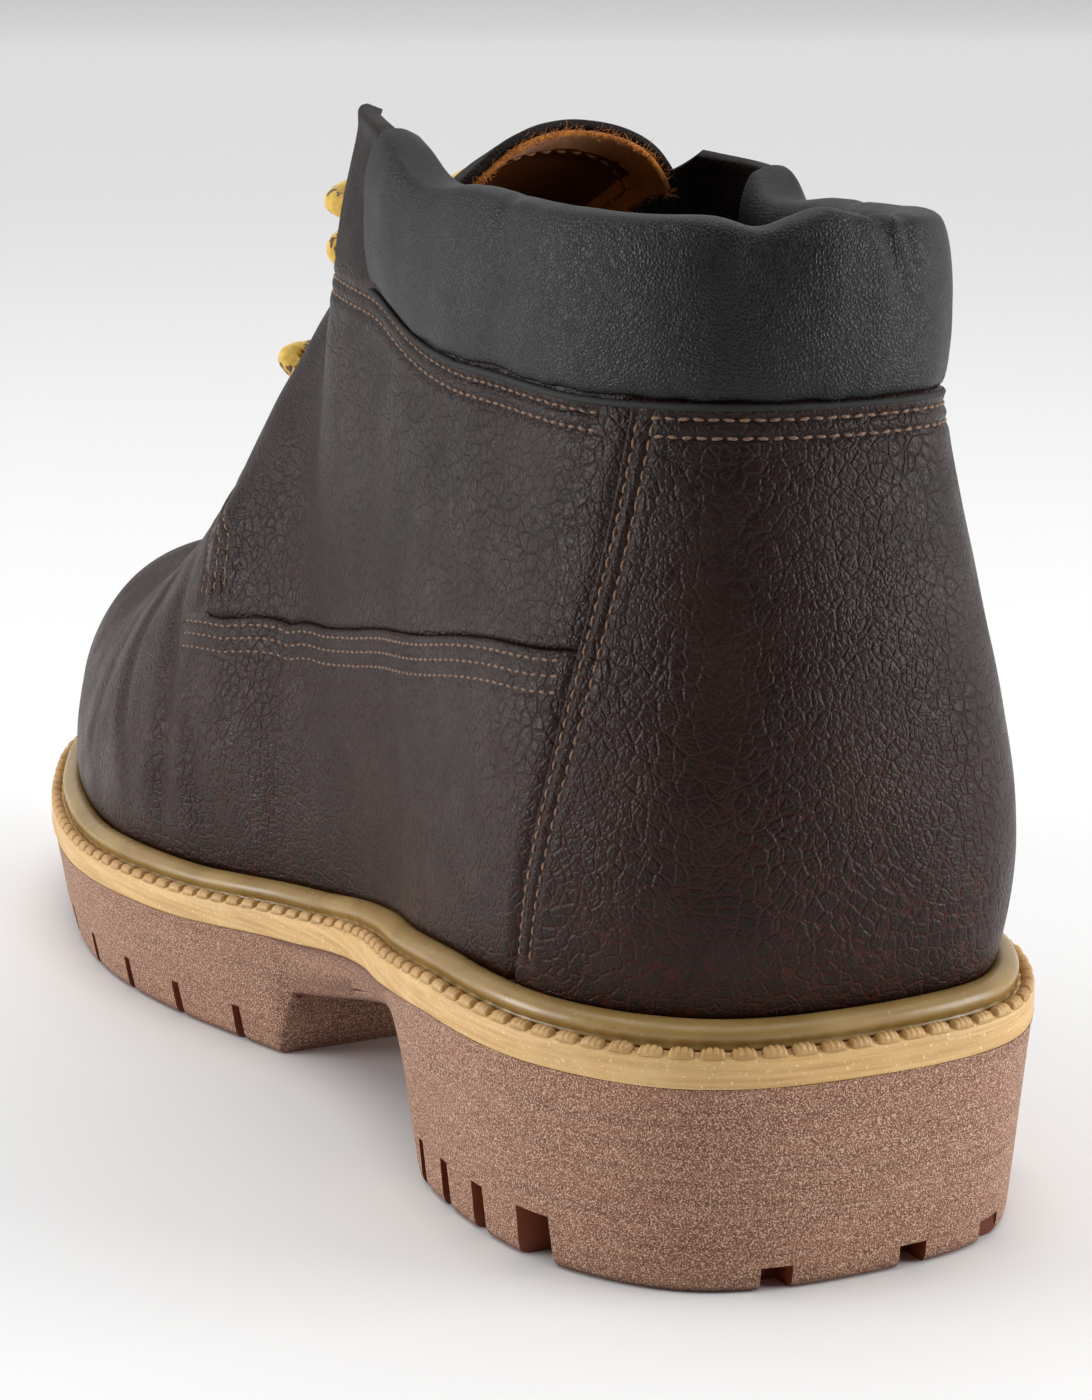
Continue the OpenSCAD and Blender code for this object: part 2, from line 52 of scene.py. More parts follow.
# ---------------------------------------------------------------- camera
VIEW_FROM = Vector((0.2363, 0.5299, 0.1877))
VIEW_ALONG = Vector((-0.4251, -0.8794, -0.2144))
LENS_MM = 79.92
camera = bpy.data.objects.new("camera", bpy.data.cameras.new("camera"))
bpy.context.collection.objects.link(camera)
camera.location = VIEW_FROM
camera.rotation_euler = VIEW_ALONG.to_track_quat("-Z", "Y").to_euler()
camera.data.lens = LENS_MM
camera.data.sensor_width = 36
camera.data.clip_start = 0.01
bpy.context.scene.camera = camera
bpy.context.scene.view_settings.view_transform = "Standard"

# ---------------------------------------------------------------- shape of the last, as in the CAD
# Knots run from the back of the heel round one side to the toe, in mm: [x, distance from back, z]
BOOT_L = 312
WELT_H = 6.5
RIM_OUT = 6.5
RIM_T = 5
FOOT_MEDIAL = [[0, 8], [24, 13], [38, 31], [42, 55], [40, 80], [36, 100], [35, 118], [38, 138],
    [44, 158], [49.5, 180], [52, 204], [49.5, 231], [41.5, 260], [27, 287], [0, 303.5]]
FOOT_LATERAL = [[0, 8], [24.5, 12], [38.5, 30], [42.5, 54], [41.5, 78], [41.5, 98], [42.5, 116],
    [45, 136], [49, 157], [52, 179], [52.5, 204], [50, 232], [42.5, 261], [27.5, 288], [0, 303.5]]
RIM_Z = [[0, 38.5], [60, 38.5], [95, 34.5], [130, 29.5], [165, 26.5], [215, 25], [255, 26], [312, 30]]
TREAD_Z = [[0, 1.5], [5, 0], [72, 0], [74, 5], [78, 14], [82, 21], [86, 23], [92, 23], [101, 21],
    [123, 15.5], [139, 12], [140, 0], [215, 0], [240, 1.5], [275, 5.5], [300, 10.5], [312, 15]]
CREST = [[0, 17, 158], [18, 22, 158], [29, 40, 158.5], [32, 64, 160], [32.5, 90, 163], [31, 112, 169],
    [24, 136, 173], [0, 154, 172], [0, 171, 145], [0, 190, 119], [0, 211, 99], [0, 238, 83],
    [0, 264, 75.5], [0, 285, 65], [0, 300, 48]]
LATERAL_SHIFT = [[0, 0, 0], [0, 0, 0], [0, 0, -1], [1, 0, -2.5], [3, -3, -4.5], [8, -9.5, -7],
    [11, -13, -8.5], [0, 0, 0], [0, 0, 0], [0, 0, 0], [0, 0, 0], [0, 0, 0], [0, 0, 0], [0, 0, 0],
    [0, 0, 0]]
HANDLE_LOW = [[0, -10, 32], [6, -8, 32], [8, -2, 34], [4, 0, 40], [3, 0, 40], [3, 0, 40], [4, 2, 38],
    [5, 3, 36], [6, 3, 31], [5, 3, 27], [4.5, 3, 24], [2.5, 3, 22], [0, 3, 18], [4.5, 4, 12], [0, 1, 4]]
HANDLE_HIGH = [[0, 3, -40], [-2, 2, -40], [-3, 1, -42], [-2, 0, -44], [1, 4, -46], [2, 10, -46],
    [10, 13, -41], [28, 12, -29], [37, 11, -18], [36.5, 9, -12], [34.5, 5, -6], [32.5, 3, -3],
    [32, 2, 4], [20, 3, 2], [0, 2, -4]]
KNOTS = len(CREST) - 1
WING_LINE = [[1.5, 0.48], [2, 0.47], [3, 0.43], [4.2, 0.394], [5.5, 0.357], [6.3, 0.34], [7, 0.33],
    [8, 0.378], [9.2, 0.455], [10, 0.48], [14, 0.5]]
COLLAR_LINE = [[0, 0.79], [3.5, 0.79], [4.75, 0.81], [5, 0.81], [6, 0.79], [7, 0.79]]
THROAT_Q = [[0, 8.15], [0.11, 8.2], [0.27, 8.75], [0.45, 9], [0.65, 8.7], [0.85, 7.8], [0.95, 7.3], [1, 6.9]]
THROAT_V = [[0, 0.4], [0.25, 0.6], [0.45, 0.74], [0.65, 0.87], [0.85, 0.905], [0.95, 0.87], [1, 0.79]]
VAMP_EDGE = [[0.4, 8.24], [0.49, 8.29], [0.6, 8.8], [0.76, 9.12], [0.9, 9.2], [1, 9.3]]
EYELET_SEATS = [[8.4, 0.81], [7.55, 0.825], [6.35, 0.84]]
EYELET_HOLE = 3.2
COLLAR_END = 5
# Shares of the rib at which the collar's and the wing's seams start at the back
COLLAR_V, WING_V = 0.79, 0.47


def lookup(x, table):
    table = np.array(table, float)
    return np.interp(x, table[:, 0], table[:, 1])


def with_height(foot):
    return np.array([[x, s, lookup(s, RIM_Z) + WELT_H] for x, s in foot])


FOOT_M, FOOT_L = with_height(FOOT_MEDIAL), with_height(FOOT_LATERAL)


def spline(a, b, c, d, f):
    """Catmull-Rom point between b and c, at the share f of the way."""
    return 0.5 * (2 * b + (c - a) * f + (2 * a - 5 * b + 4 * c - d) * f**2 + (3 * b - a - 3 * c + d) * f**3)


def along(rows, k):
    """Catmull-Rom line through the rows, mirrored past both ends."""
    rows = np.array(rows, float)
    ends = [rows[i] * np.array([-1] + [1] * (rows.shape[1] - 1)) for i in (1, -2)]
    rows = np.vstack([ends[0], rows, ends[1]])
    i = np.minimum(np.floor(k).astype(int), KNOTS - 1)
    f = (k - i)[..., None]
    return spline(*(rows[i + n] for n in range(4)), f)


def at(p):
    """Metres in the frame from [x, distance from the back, z] in mm."""
    p = np.asarray(p, float)
    return np.stack([p[..., 0], BOOT_L / 2 - p[..., 1], p[..., 2]], -1) * MM


def rib(q, v):
    q, v = np.broadcast_arrays(np.asarray(q, float), np.asarray(v, float))
    k = np.clip(abs(q), 0, KNOTS)
    left = (q < 0)[..., None]
    foot = np.where(left, along(FOOT_L, k), along(FOOT_M, k))
    top = along(CREST, k) + np.where(left, along(LATERAL_SHIFT, k), 0)
    low = foot + along(HANDLE_LOW, k)
    high = top + along(HANDLE_HIGH, k)
    v = v[..., None]
    u = 1 - v
    p = foot * u**3 + 3 * low * v * u**2 + 3 * high * v**2 * u + top * v**3
    return at(p * np.stack([np.where(q < 0, -1, 1), np.ones(q.shape), np.ones(q.shape)], -1))


def unit(a):
    return a / np.maximum(np.linalg.norm(a, axis=-1, keepdims=True), 1e-12)


STEP = 0.02


def outward(q, v):
    q, v = np.broadcast_arrays(np.asarray(q, float), np.asarray(v, float))
    q0 = np.where(abs(q) > KNOTS - STEP, np.where(q < 0, -KNOTS, KNOTS - STEP), q)
    v0 = np.clip(v, 0, 1 - STEP)
    p = rib(q0, v0)
    n = unit(np.cross(rib(q0, v0 + STEP) - p, rib(q0 + STEP, v0) - p))
    flat = (abs(q) >= KNOTS) | ((v >= 1) & (abs(q) >= 7))
    n[flat, 0] = 0
    return unit(n)


def skin(q, v, lift):
    """Point that stands lift mm out of the bare upper."""
    return rib(q, v) + np.asarray(lift, float)[..., None] * MM * outward(q, v)


def run_along(line):
    """Length of the line up to each of its points, in metres."""
    return np.concatenate([[0], np.cumsum(np.linalg.norm(np.diff(line, axis=0), axis=1))])


def sample(line, run, places):
    """Points at the places on a line whose running length is run."""
    return np.stack([np.interp(places, run, line[:, c]) for c in range(3)], -1)


def grid(m, n):
    """Shares 0 to 1 over m by n cells."""
    return np.meshgrid(np.linspace(0, 1, m + 1), np.linspace(0, 1, n + 1), indexing="ij")


def bell(x, middle=0.0, width=1.0):
    return np.exp(-(((x - middle) / width) ** 2))


def smoothstep(x, a, b):
    t = np.clip((x - a) / (b - a), 0, 1)
    return t * t * (3 - 2 * t)


def mix(a, b, f):
    return a + (b - a) * f


def noise_at(points, scale, seed=0.0):
    flat = points.reshape(-1, 3) * scale + seed
    return np.array([noise.noise(Vector(p)) for p in flat]).reshape(points.shape[:-1])


# ---------------------------------------------------------------- materials
class Shader:
    """Short way to build one node material."""

    def __init__(self, name, rough=0.5, **sockets):
        self.mat = bpy.data.materials.new(name)
        self.mat.use_nodes = True
        self.tree = self.mat.node_tree
        self.bsdf = self.tree.nodes["Principled BSDF"]
        self.bsdf.inputs["Roughness"].default_value = rough
        for key, value in sockets.items():
            self.bsdf.inputs[key.replace("_", " ")].default_value = value
        self.where = self.node("ShaderNodeTexCoord").outputs["Object"]
        self.height = None

    def node(self, kind, links=None, **props):
        n = self.tree.nodes.new(kind)
        for key, value in props.items():
            setattr(n, key, value)
        for key, value in (links or {}).items():
            if hasattr(value, "is_output"):
                self.tree.links.new(value, n.inputs[key])
            else:
                n.inputs[key].default_value = value
        return n

    def stretched(self, x, y, z):
        return self.node("ShaderNodeMapping", {"Vector": self.where, "Scale": (x, y, z)}).outputs[0]

    def noise(self, scale, detail=3, rough=0.55, where=None):
        return self.node("ShaderNodeTexNoise", {"Vector": where or self.where, "Scale": scale,
            "Detail": detail, "Roughness": rough}).outputs["Fac"]

    def cells(self, scale, feature="DISTANCE_TO_EDGE", where=None):
        return self.node("ShaderNodeTexVoronoi", {"Vector": where or self.where, "Scale": scale},
            feature=feature).outputs[0]

    def warped(self, scale, amount):
        fine = self.node("ShaderNodeTexNoise", {"Vector": self.where, "Scale": scale}).outputs["Color"]
        shift = self.node("ShaderNodeVectorMath", {0: fine, "Scale": amount}, operation="SCALE").outputs[0]
        return self.node("ShaderNodeVectorMath", {0: self.where, 1: shift}, operation="ADD").outputs[0]

    def span(self, value, low, high, out_low=0.0, out_high=1.0):
        return self.node("ShaderNodeMapRange", {"Value": value, "From Min": low, "From Max": high,
            "To Min": out_low, "To Max": out_high}).outputs[0]

    def math(self, operation, a, b):
        return self.node("ShaderNodeMath", {0: a, 1: b}, operation=operation).outputs[0]

    def blend(self, factor, a, b, kind="MIX"):
        n = self.node("ShaderNodeMix", data_type="RGBA", blend_type=kind)
        for key, value in ((0, factor), (6, a), (7, b)):
            if hasattr(value, "is_output"):
                self.tree.links.new(value, n.inputs[key])
            else:
                n.inputs[key].default_value = value if key == 0 else (*value, 1)
        return n.outputs[2]

    def colour(self, socket):
        self.tree.links.new(socket, self.bsdf.inputs["Base Color"])

    def roughness(self, socket):
        self.tree.links.new(socket, self.bsdf.inputs["Roughness"])

    def bump(self, height, depth, strength=1.0):
        links = {"Height": height, "Distance": depth, "Strength": strength}
        if self.height:
            links["Normal"] = self.height
        self.height = self.node("ShaderNodeBump", links).outputs[0]
        self.tree.links.new(self.height, self.bsdf.inputs["Normal"])


def up_share(s, low, high):
    """1 at height low, 0 at height high."""
    z = s.node("ShaderNodeSeparateXYZ", {"Vector": s.where}).outputs[2]
    return s.span(z, low, high, 1.0, 0.0)


def leather(name, dark, light, crack, pebble=430, crease_shade_and_cracks=0.35, rough=0.36):
    """Full-grain leather: pebbles parted by thin creases darkened with painted shade, cloudy colour, worn
    sheen.
    """
    s = Shader(name, rough, Specular_IOR_Level=0.17)
    bent = s.warped(220, 0.0011)
    big = s.cells(pebble, where=bent)
    small = s.cells(pebble * 2.3, where=bent)
    strong = s.span(s.noise(38, 3), 0.36, 0.66)
    groove = s.span(big, 0.0, 0.13)
    fine = s.span(small, 0.0, 0.22)
    relief = s.math("ADD", s.math("MULTIPLY", groove, s.span(strong, 0, 1, 0.35, 1.0)),
        s.math("MULTIPLY", fine, 0.35))
    cloud = s.span(s.noise(55, 5, 0.6), 0.3, 0.72)
    base = s.blend(cloud, dark, light)
    # Pebble creases: darkened towards near black as painted shade in the creases, and red near the bottom as
    # cracked finish.
    lines = s.math("MULTIPLY", s.span(big, 0.0, 0.09, 1.0, 0.0), crease_shade_and_cracks)
    low = s.math("MULTIPLY", lines, up_share(s, 0.05, 0.115))
    base = s.blend(lines, base, tuple(c * 0.3 for c in dark))
    base = s.blend(s.math("MULTIPLY", low, 0.75), base, crack)
    base = s.blend(s.span(s.noise(1500, 2), 0.68, 0.78, 0, 0.4), base, tuple(c * 2.0 for c in light))
    s.colour(base)
    s.roughness(s.span(s.math("ADD", s.noise(120, 4), s.math("MULTIPLY", fine, 0.15)), 0.3, 0.85,
        rough - 0.07, rough + 0.14))
    s.bump(relief, 0.0004, 0.5)
    s.bump(s.noise(2600, 2), 0.00005, 0.6)
    return s.mat


LEATHER = leather("leather", (0.0115, 0.0048, 0.0033), (0.028, 0.0132, 0.0098), (0.095, 0.018, 0.009),
    crease_shade_and_cracks=0.6)
LEATHER_TONGUE = leather("leather_tongue", (0.008, 0.004, 0.0034), (0.017, 0.0092, 0.008),
    (0.03, 0.012, 0.01), 700, 0.2, 0.5)


def collar_leather():
    s = Shader("collar_leather", 0.42, Specular_IOR_Level=0.24)
    bent = s.warped(400, 0.0010)
    grain = s.span(s.cells(1550, where=bent), 0.0, 0.3)
    cloud = s.span(s.noise(40, 4), 0.3, 0.7)
    base = s.blend(cloud, (0.009, 0.009, 0.01), (0.0145, 0.0142, 0.0158))
    # The grain's cell edges are darkened: painted shade in the grain's creases.
    s.colour(s.blend(s.span(grain, 0, 0.6, 0.5, 0), base, (0.006, 0.006, 0.0065)))
    s.roughness(s.span(s.noise(90, 4), 0.3, 0.7, 0.38, 0.5))
    s.bump(grain, 0.00012, 0.7)
    s.bump(s.noise(2500, 2), 0.00004, 0.5)
    return s.mat


def suede(name, dark, light, rough=0.85, nap=2600):
    s = Shader(name, rough, Sheen_Weight=0.25, Sheen_Roughness=0.5)
    s.colour(s.blend(s.span(s.noise(140, 6, 0.7), 0.3, 0.7), dark, light))
    s.bump(s.noise(nap, 4, 0.7), 0.00025, 0.9)
    s.bump(s.noise(180, 3), 0.0006, 0.4)
    s.roughness(s.span(s.noise(300), 0.3, 0.7, rough - 0.08, rough + 0.05))
    return s.mat


def smooth_leather(name, dark, light):
    s = Shader(name, 0.45)
    s.colour(s.blend(s.span(s.noise(70, 5, 0.6), 0.3, 0.72), dark, light))
    pores = s.span(s.cells(1800, "F1"), 0.0, 0.35)
    s.bump(pores, 0.00006, 0.6)
    s.bump(s.noise(120, 3), 0.0005, 0.5)
    s.roughness(s.span(s.noise(150, 4), 0.3, 0.7, 0.38, 0.58))
    return s.mat


def outsole_rubber():
    """Buffed crepe rubber: pale specks and fine level streaks, smooth and redder where moulded, with painted
    shade on downward faces.
    """
    s = Shader("outsole_rubber", 0.62)
    streak = s.noise(1.0, 5, 0.65, s.stretched(45, 45, 1500))
    band = s.noise(1.0, 3, 0.6, s.stretched(14, 14, 260))
    speck = s.noise(3900, 2, 0.6)
    base = s.blend(s.span(streak, 0.36, 0.64), (0.20, 0.078, 0.042), (0.36, 0.17, 0.097))
    base = s.blend(s.span(band, 0.42, 0.66, 0, 0.6), base, (0.31, 0.115, 0.066))
    base = s.blend(s.span(speck, 0.53, 0.61, 0, 0.9), base, (0.74, 0.53, 0.38))
    base = s.blend(s.span(speck, 0.46, 0.36, 0, 0.8), base, (0.085, 0.034, 0.019))
    # Faces that turn downward are darkened towards near black-red: painted shade under the sole.
    side = s.node("ShaderNodeSeparateXYZ",
        {"Vector": s.node("ShaderNodeNewGeometry").outputs["Normal"]}).outputs[2]
    under = s.span(side, -0.75, -0.3, 1.0, 0.0)
    base = s.blend(under, base, (0.06, 0.012, 0.006))
    s.colour(base)
    s.roughness(s.span(speck, 0.35, 0.7, 0.75, 0.5))
    s.bump(speck, 0.00022, 0.8)
    s.bump(streak, 0.00022, 0.6)
    return s.mat


def inner_rubber():
    """Smooth red-brown rubber inside the grooves."""
    s = Shader("groove_rubber", 0.42)
    s.colour(s.blend(s.span(s.noise(90, 4), 0.3, 0.7), (0.16, 0.030, 0.010), (0.26, 0.062, 0.02)))
    s.bump(s.noise(900, 3), 0.00005, 0.5)
    s.roughness(s.span(s.noise(300), 0.3, 0.7, 0.35, 0.5))
    return s.mat


def rim_rubber():
    s = Shader("rim_rubber", 0.5, Subsurface_Weight=0.12, Subsurface_Scale=0.002)
    streak = s.noise(1.0, 5, 0.65, s.stretched(40, 40, 1300))
    cloud = s.noise(70, 5, 0.65)
    base = s.blend(s.span(streak, 0.32, 0.7), (0.54, 0.31, 0.105), (0.78, 0.51, 0.215))
    base = s.blend(s.span(cloud, 0.5, 0.75, 0, 0.6), base, (0.80, 0.56, 0.27))
    base = s.blend(s.span(s.noise(1700, 2), 0.62, 0.72, 0, 0.8), base, (0.85, 0.70, 0.48))
    s.colour(base)
    s.bump(streak, 0.00018, 0.6)
    s.bump(s.noise(1800, 3), 0.00008, 0.6)
    s.roughness(s.span(cloud, 0.3, 0.7, 0.42, 0.62))
    return s.mat


def welt_rubber():
    s = Shader("welt_rubber", 0.3, Subsurface_Weight=0.25, Subsurface_Scale=0.003, Coat_Weight=0.15,
        Coat_Roughness=0.3)
    cloud = s.span(s.noise(60, 4), 0.3, 0.72)
    base = s.blend(cloud, (0.26, 0.155, 0.042), (0.40, 0.26, 0.088))
    s.colour(s.blend(s.span(s.noise(1400, 2), 0.66, 0.76, 0, 0.6), base, (0.62, 0.5, 0.28)))
    s.bump(s.noise(240, 3), 0.00018, 0.4)
    s.bump(s.noise(1900, 2), 0.00003, 0.5)
    s.roughness(s.span(s.noise(130, 3), 0.3, 0.7, 0.24, 0.42))
    return s.mat


def thread(name, dark, light):
    s = Shader(name, 0.6, Sheen_Weight=0.2)
    twist = s.noise(2400, 2)
    s.colour(s.blend(s.span(twist, 0.35, 0.65), dark, light))
    s.bump(s.noise(5200, 2), 0.00008, 0.8)
    s.roughness(s.span(twist, 0.3, 0.7, 0.5, 0.7))
    return s.mat


def lace_braid():
    """Yellow braid with brown flecks: the fleck of each strand is stored on the tube's points."""
    s = Shader("lace_braid", 0.62, Sheen_Weight=0.15)
    fleck = s.node("ShaderNodeAttribute", attribute_name="fleck").outputs["Fac"]
    base = s.blend(s.span(s.noise(900, 3), 0.3, 0.7), (0.62, 0.36, 0.03), (0.82, 0.55, 0.09))
    s.colour(s.blend(s.span(fleck, 0.45, 0.6), base, (0.10, 0.045, 0.018)))
    s.bump(s.noise(4200, 2), 0.0001, 0.7)
    s.roughness(s.span(s.noise(700), 0.3, 0.7, 0.52, 0.72))
    return s.mat


def metal(name, dark, light, rough):
    s = Shader(name, rough, Metallic=1.0)
    wear = s.noise(420, 5, 0.7)
    s.colour(s.blend(s.span(wear, 0.35, 0.7), dark, light))
    s.roughness(s.span(wear, 0.3, 0.7, rough - 0.1, rough + 0.18))
    s.bump(s.noise(1600, 3), 0.00004, 0.5)
    return s.mat


def board(name, dark, light, scale, rough=0.85):
    s = Shader(name, rough)
    s.colour(s.blend(s.span(s.noise(scale, 5, 0.7), 0.35, 0.65), dark, light))
    s.bump(s.noise(scale * 2, 4, 0.7), 0.0002, 0.7)
    s.roughness(s.span(s.noise(scale), 0.3, 0.7, rough - 0.1, rough))
    return s.mat


def knit(name, dark, light):
    """Brushed knit: rows of small loops under a soft nap."""
    s = Shader(name, 0.9, Sheen_Weight=0.3)
    rows = s.node("ShaderNodeTexWave", {"Vector": s.where, "Scale": 260.0, "Distortion": 2.0,
        "Detail Scale": 3.0}).outputs["Fac"]
    cross = s.node("ShaderNodeTexWave", {"Vector": s.where, "Scale": 260.0, "Distortion": 2.0},
        bands_direction="Y").outputs["Fac"]
    loops = s.math("MULTIPLY", rows, cross)
    s.colour(s.blend(s.math("MULTIPLY", loops, s.span(s.noise(200), 0.3, 0.7, 0.6, 1)), dark, light))
    s.bump(loops, 0.0003, 0.8)
    s.roughness(s.span(loops, 0, 1, 0.95, 0.8))
    return s.mat


COLLAR = collar_leather()
SUEDE_EDGE = suede("suede_edge", (0.50, 0.135, 0.01), (0.90, 0.34, 0.045))
TONGUE_LINING = smooth_leather("tongue_lining_leather", (0.10, 0.024, 0.005), (0.20, 0.055, 0.012))
LINING = smooth_leather("lining_leather", (0.23, 0.12, 0.05), (0.36, 0.21, 0.10))
OUTSOLE = outsole_rubber()
GROOVE = inner_rubber()
RIM = rim_rubber()
WELT = welt_rubber()
THREAD = thread("thread_tan", (0.115, 0.055, 0.028), (0.27, 0.14, 0.072))
THREAD_ORANGE = thread("thread_orange", (0.25, 0.09, 0.02), (0.42, 0.17, 0.04))
LACE = lace_braid()
BRASS = metal("eyelet_brass", (0.20, 0.12, 0.06), (0.42, 0.28, 0.15), 0.38)
STEEL = metal("pressed_steel", (0.42, 0.42, 0.43), (0.62, 0.62, 0.64), 0.34)
AGLET = metal("aglet_tip", (0.10, 0.055, 0.035), (0.20, 0.12, 0.08), 0.35)
FIBRE = board("insole_fibre", (0.42, 0.33, 0.2), (0.6, 0.5, 0.34), 700)
CORK = board("cork", (0.22, 0.12, 0.05), (0.52, 0.36, 0.19), 420)
STIFF = board("stiffener_sheet", (0.5, 0.42, 0.3), (0.62, 0.54, 0.4), 900, 0.6)
EDGE_RUBBER = board("edge_rubber", (0.02, 0.02, 0.02), (0.05, 0.05, 0.05), 600, 0.75)
FOOTBED = knit("footbed_knit", (0.012, 0.011, 0.011), (0.07, 0.06, 0.055))
FOAM = board("footbed_foam", (0.03, 0.03, 0.032), (0.075, 0.075, 0.08), 1500, 0.95)
# Near-black material of the tubes set along the seams: painted shade.
SHADE_LINE_BLACK = board("painted_shade_line", (0.0015, 0.001, 0.001), (0.007, 0.005, 0.0045), 1800, 0.75)


# ---------------------------------------------------------------- mesh helpers
def place(obj):
    bpy.context.collection.objects.link(obj)
    return obj


def piece(name, points, faces, materials, body="root", slot=None, smooth=True, sharp=None):
    """Object from points and faces, with its normals outward, riding on a CAD body."""
    mesh = bpy.data.meshes.new(name)
    mesh.from_pydata([tuple(p) for p in points], [], faces)
    work = bmesh.new()
    work.from_mesh(mesh)
    bmesh.ops.remove_doubles(work, verts=work.verts, dist=2e-6)
    bmesh.ops.recalc_face_normals(work, faces=work.faces)
    work.to_mesh(mesh)
    work.free()
    for m in materials if isinstance(materials, (list, tuple)) else [materials]:
        mesh.materials.append(m)
    mesh.polygons.foreach_set("use_smooth", [smooth] * len(mesh.polygons))
    if sharp:
        mesh.set_sharp_from_angle(angle=math.radians(sharp))
    obj = place(bpy.data.objects.new(name, mesh))
    if body:
        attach(obj, body)
    return obj


def subdivide(obj):
    finer = obj.modifiers.new("finer", "SUBSURF")
    finer.levels = finer.render_levels = 1


def bevel(obj, width, segments, degrees):
    edge = obj.modifiers.new("soft_edges", "BEVEL")
    edge.width, edge.segments = width, segments
    edge.limit_method, edge.angle_limit = "ANGLE", math.radians(degrees)
    return edge


def tube_faces(rings, sides, joined=False, first=0):
    """Faces of a tube through rings of points. Its ends are closed, or joined to each other."""
    faces = []
    for i in range(rings if joined else rings - 1):
        for j in range(sides):
            k, a = (j + 1) % sides, (i + 1) % rings
            faces.append([first + n for n in (i * sides + j, i * sides + k, a * sides + k, a * sides + j)])
    if not joined:
        last = first + (rings - 1) * sides
        faces += [list(range(first, first + sides))[::-1], list(range(last, last + sides))]
    return faces


def tube_points(line, across, other, radius, sides):
    """Points of a tube round a line, whose section lies along the directions across and other."""
    angle = np.arange(sides) * 2 * math.pi / sides
    return (line[:, None] + radius[..., None] * (np.cos(angle)[None, :, None] * across[:, None]
        + np.sin(angle)[None, :, None] * other[:, None])).reshape(-1, 3)


def shell(name, outer, inner, materials, present=None, closed=False, **more):
    """Closed sheet between two grids of points. Cells that present leaves out stay open."""
    m, n = outer.shape[0] - 1, outer.shape[1] - 1
    size = (m + 1) * (n + 1)
    cells = np.ones((m, n), bool) if present is None else present
    wide = np.zeros((m + 2, n + 2), bool)
    wide[1:-1, 1:-1] = cells
    faces = []

    def number(i, j, layer):
        return layer * size + i * (n + 1) + j

    for i, j in zip(*np.nonzero(cells)):
        corners = [(i, j), (i, j + 1), (i + 1, j + 1), (i + 1, j)]
        faces.append([number(a, b, 0) for a, b in corners])
        faces.append([number(a, b, 1) for a, b in reversed(corners)])
        for (a, b), (c, d), neighbour in ((corners[0], corners[1], wide[i, j + 1]),
                (corners[1], corners[2], wide[i + 1, j + 2]), (corners[2], corners[3], wide[i + 2, j + 1]),
                (corners[3], corners[0], wide[i + 1, j])):
            if not neighbour and not (closed and a == m and c == m):
                faces.append([number(a, b, 0), number(a, b, 1), number(c, d, 1), number(c, d, 0)])
    points = np.concatenate([outer.reshape(-1, 3), inner.reshape(-1, 3)])
    used = sorted({i for f in faces for i in f})
    renumber = {old: new for new, old in enumerate(used)}
    return piece(name, points[used], [[renumber[i] for i in f] for f in faces], materials, **more)


def distance(points, line):
    """Distance in metres from each point to the nearest point of the line."""
    tree = KDTree(len(line))
    for i, p in enumerate(line):
        tree.insert(p, i)
    tree.balance()
    return np.array([tree.find(p)[2] for p in points.reshape(-1, 3)]).reshape(points.shape[:-1])


def rim_distance(points, present, closed=False):
    """Distance in mm from each grid point to the sheet's edge."""
    m, n = points.shape[0] - 1, points.shape[1] - 1
    wide = np.zeros((m + 2, n + 2), bool)
    wide[1:-1, 1:-1] = present
    inside = wide[:-1, :-1] & wide[:-1, 1:] & wide[1:, :-1] & wide[1:, 1:]
    if closed:
        inside[m] |= wide[m, :-1] & wide[m, 1:]
    touching = wide[:-1, :-1] | wide[:-1, 1:] | wide[1:, :-1] | wide[1:, 1:]
    return distance(points, points[touching & ~inside]) / MM


def per_q(q, v):
    """Millimetres for one knot along q."""
    return np.linalg.norm(rib(q + 0.01, v) - rib(q - 0.01, v), axis=-1) / 0.02 / MM


def per_v(q, v):
    return np.linalg.norm(rib(q, v + 0.01) - rib(q, v - 0.01), axis=-1) / 0.02 / MM


# ---------------------------------------------------------------- seams
def seam_q(v):
    return 2.45 - 1.45 * v + 0.5 * v * v


def side_row(side, inset, low=0.02, high=0.775, count=220):
    """Row beside the edge of the heel cover, inset mm inside it."""
    v = np.linspace(low, high, count)
    q = side * seam_q(v)
    return q - side * inset / per_q(q, v), v


def top_row(q0, q1, drop, count=260):
    """Row below the collar's seam."""
    q = np.linspace(q0, q1, count)
    v = lookup(abs(q), COLLAR_LINE)
    return q, v - drop / per_v(q, v)


def wing_row(side, drop, count=260):
    """Row below the top edge of the vamp's wing, on the wing."""
    k = np.linspace(2.0, 8.75, count)
    v = lookup(k, WING_LINE)
    return side * k, v - drop / per_v(side * k, v)


def throat_row(side, inset, count=200):
    """Row behind the front edge of the quarter."""
    b = np.linspace(0.02, 0.93, count)
    q = side * lookup(b, THROAT_Q)
    v = lookup(b, THROAT_V)
    return q - side * inset / per_q(q, v), v


def vamp_row(inset, count=200):
    """Row in front of the back edge of the vamp, over the instep."""
    w = np.linspace(-0.58, 0.58, count)
    v = 1 - abs(w)
    k = lookup(v, VAMP_EDGE)
    q = np.where(w < 0, -k, k)
    return q + np.sign(q) * inset / per_q(q, np.minimum(v, 0.99)), v


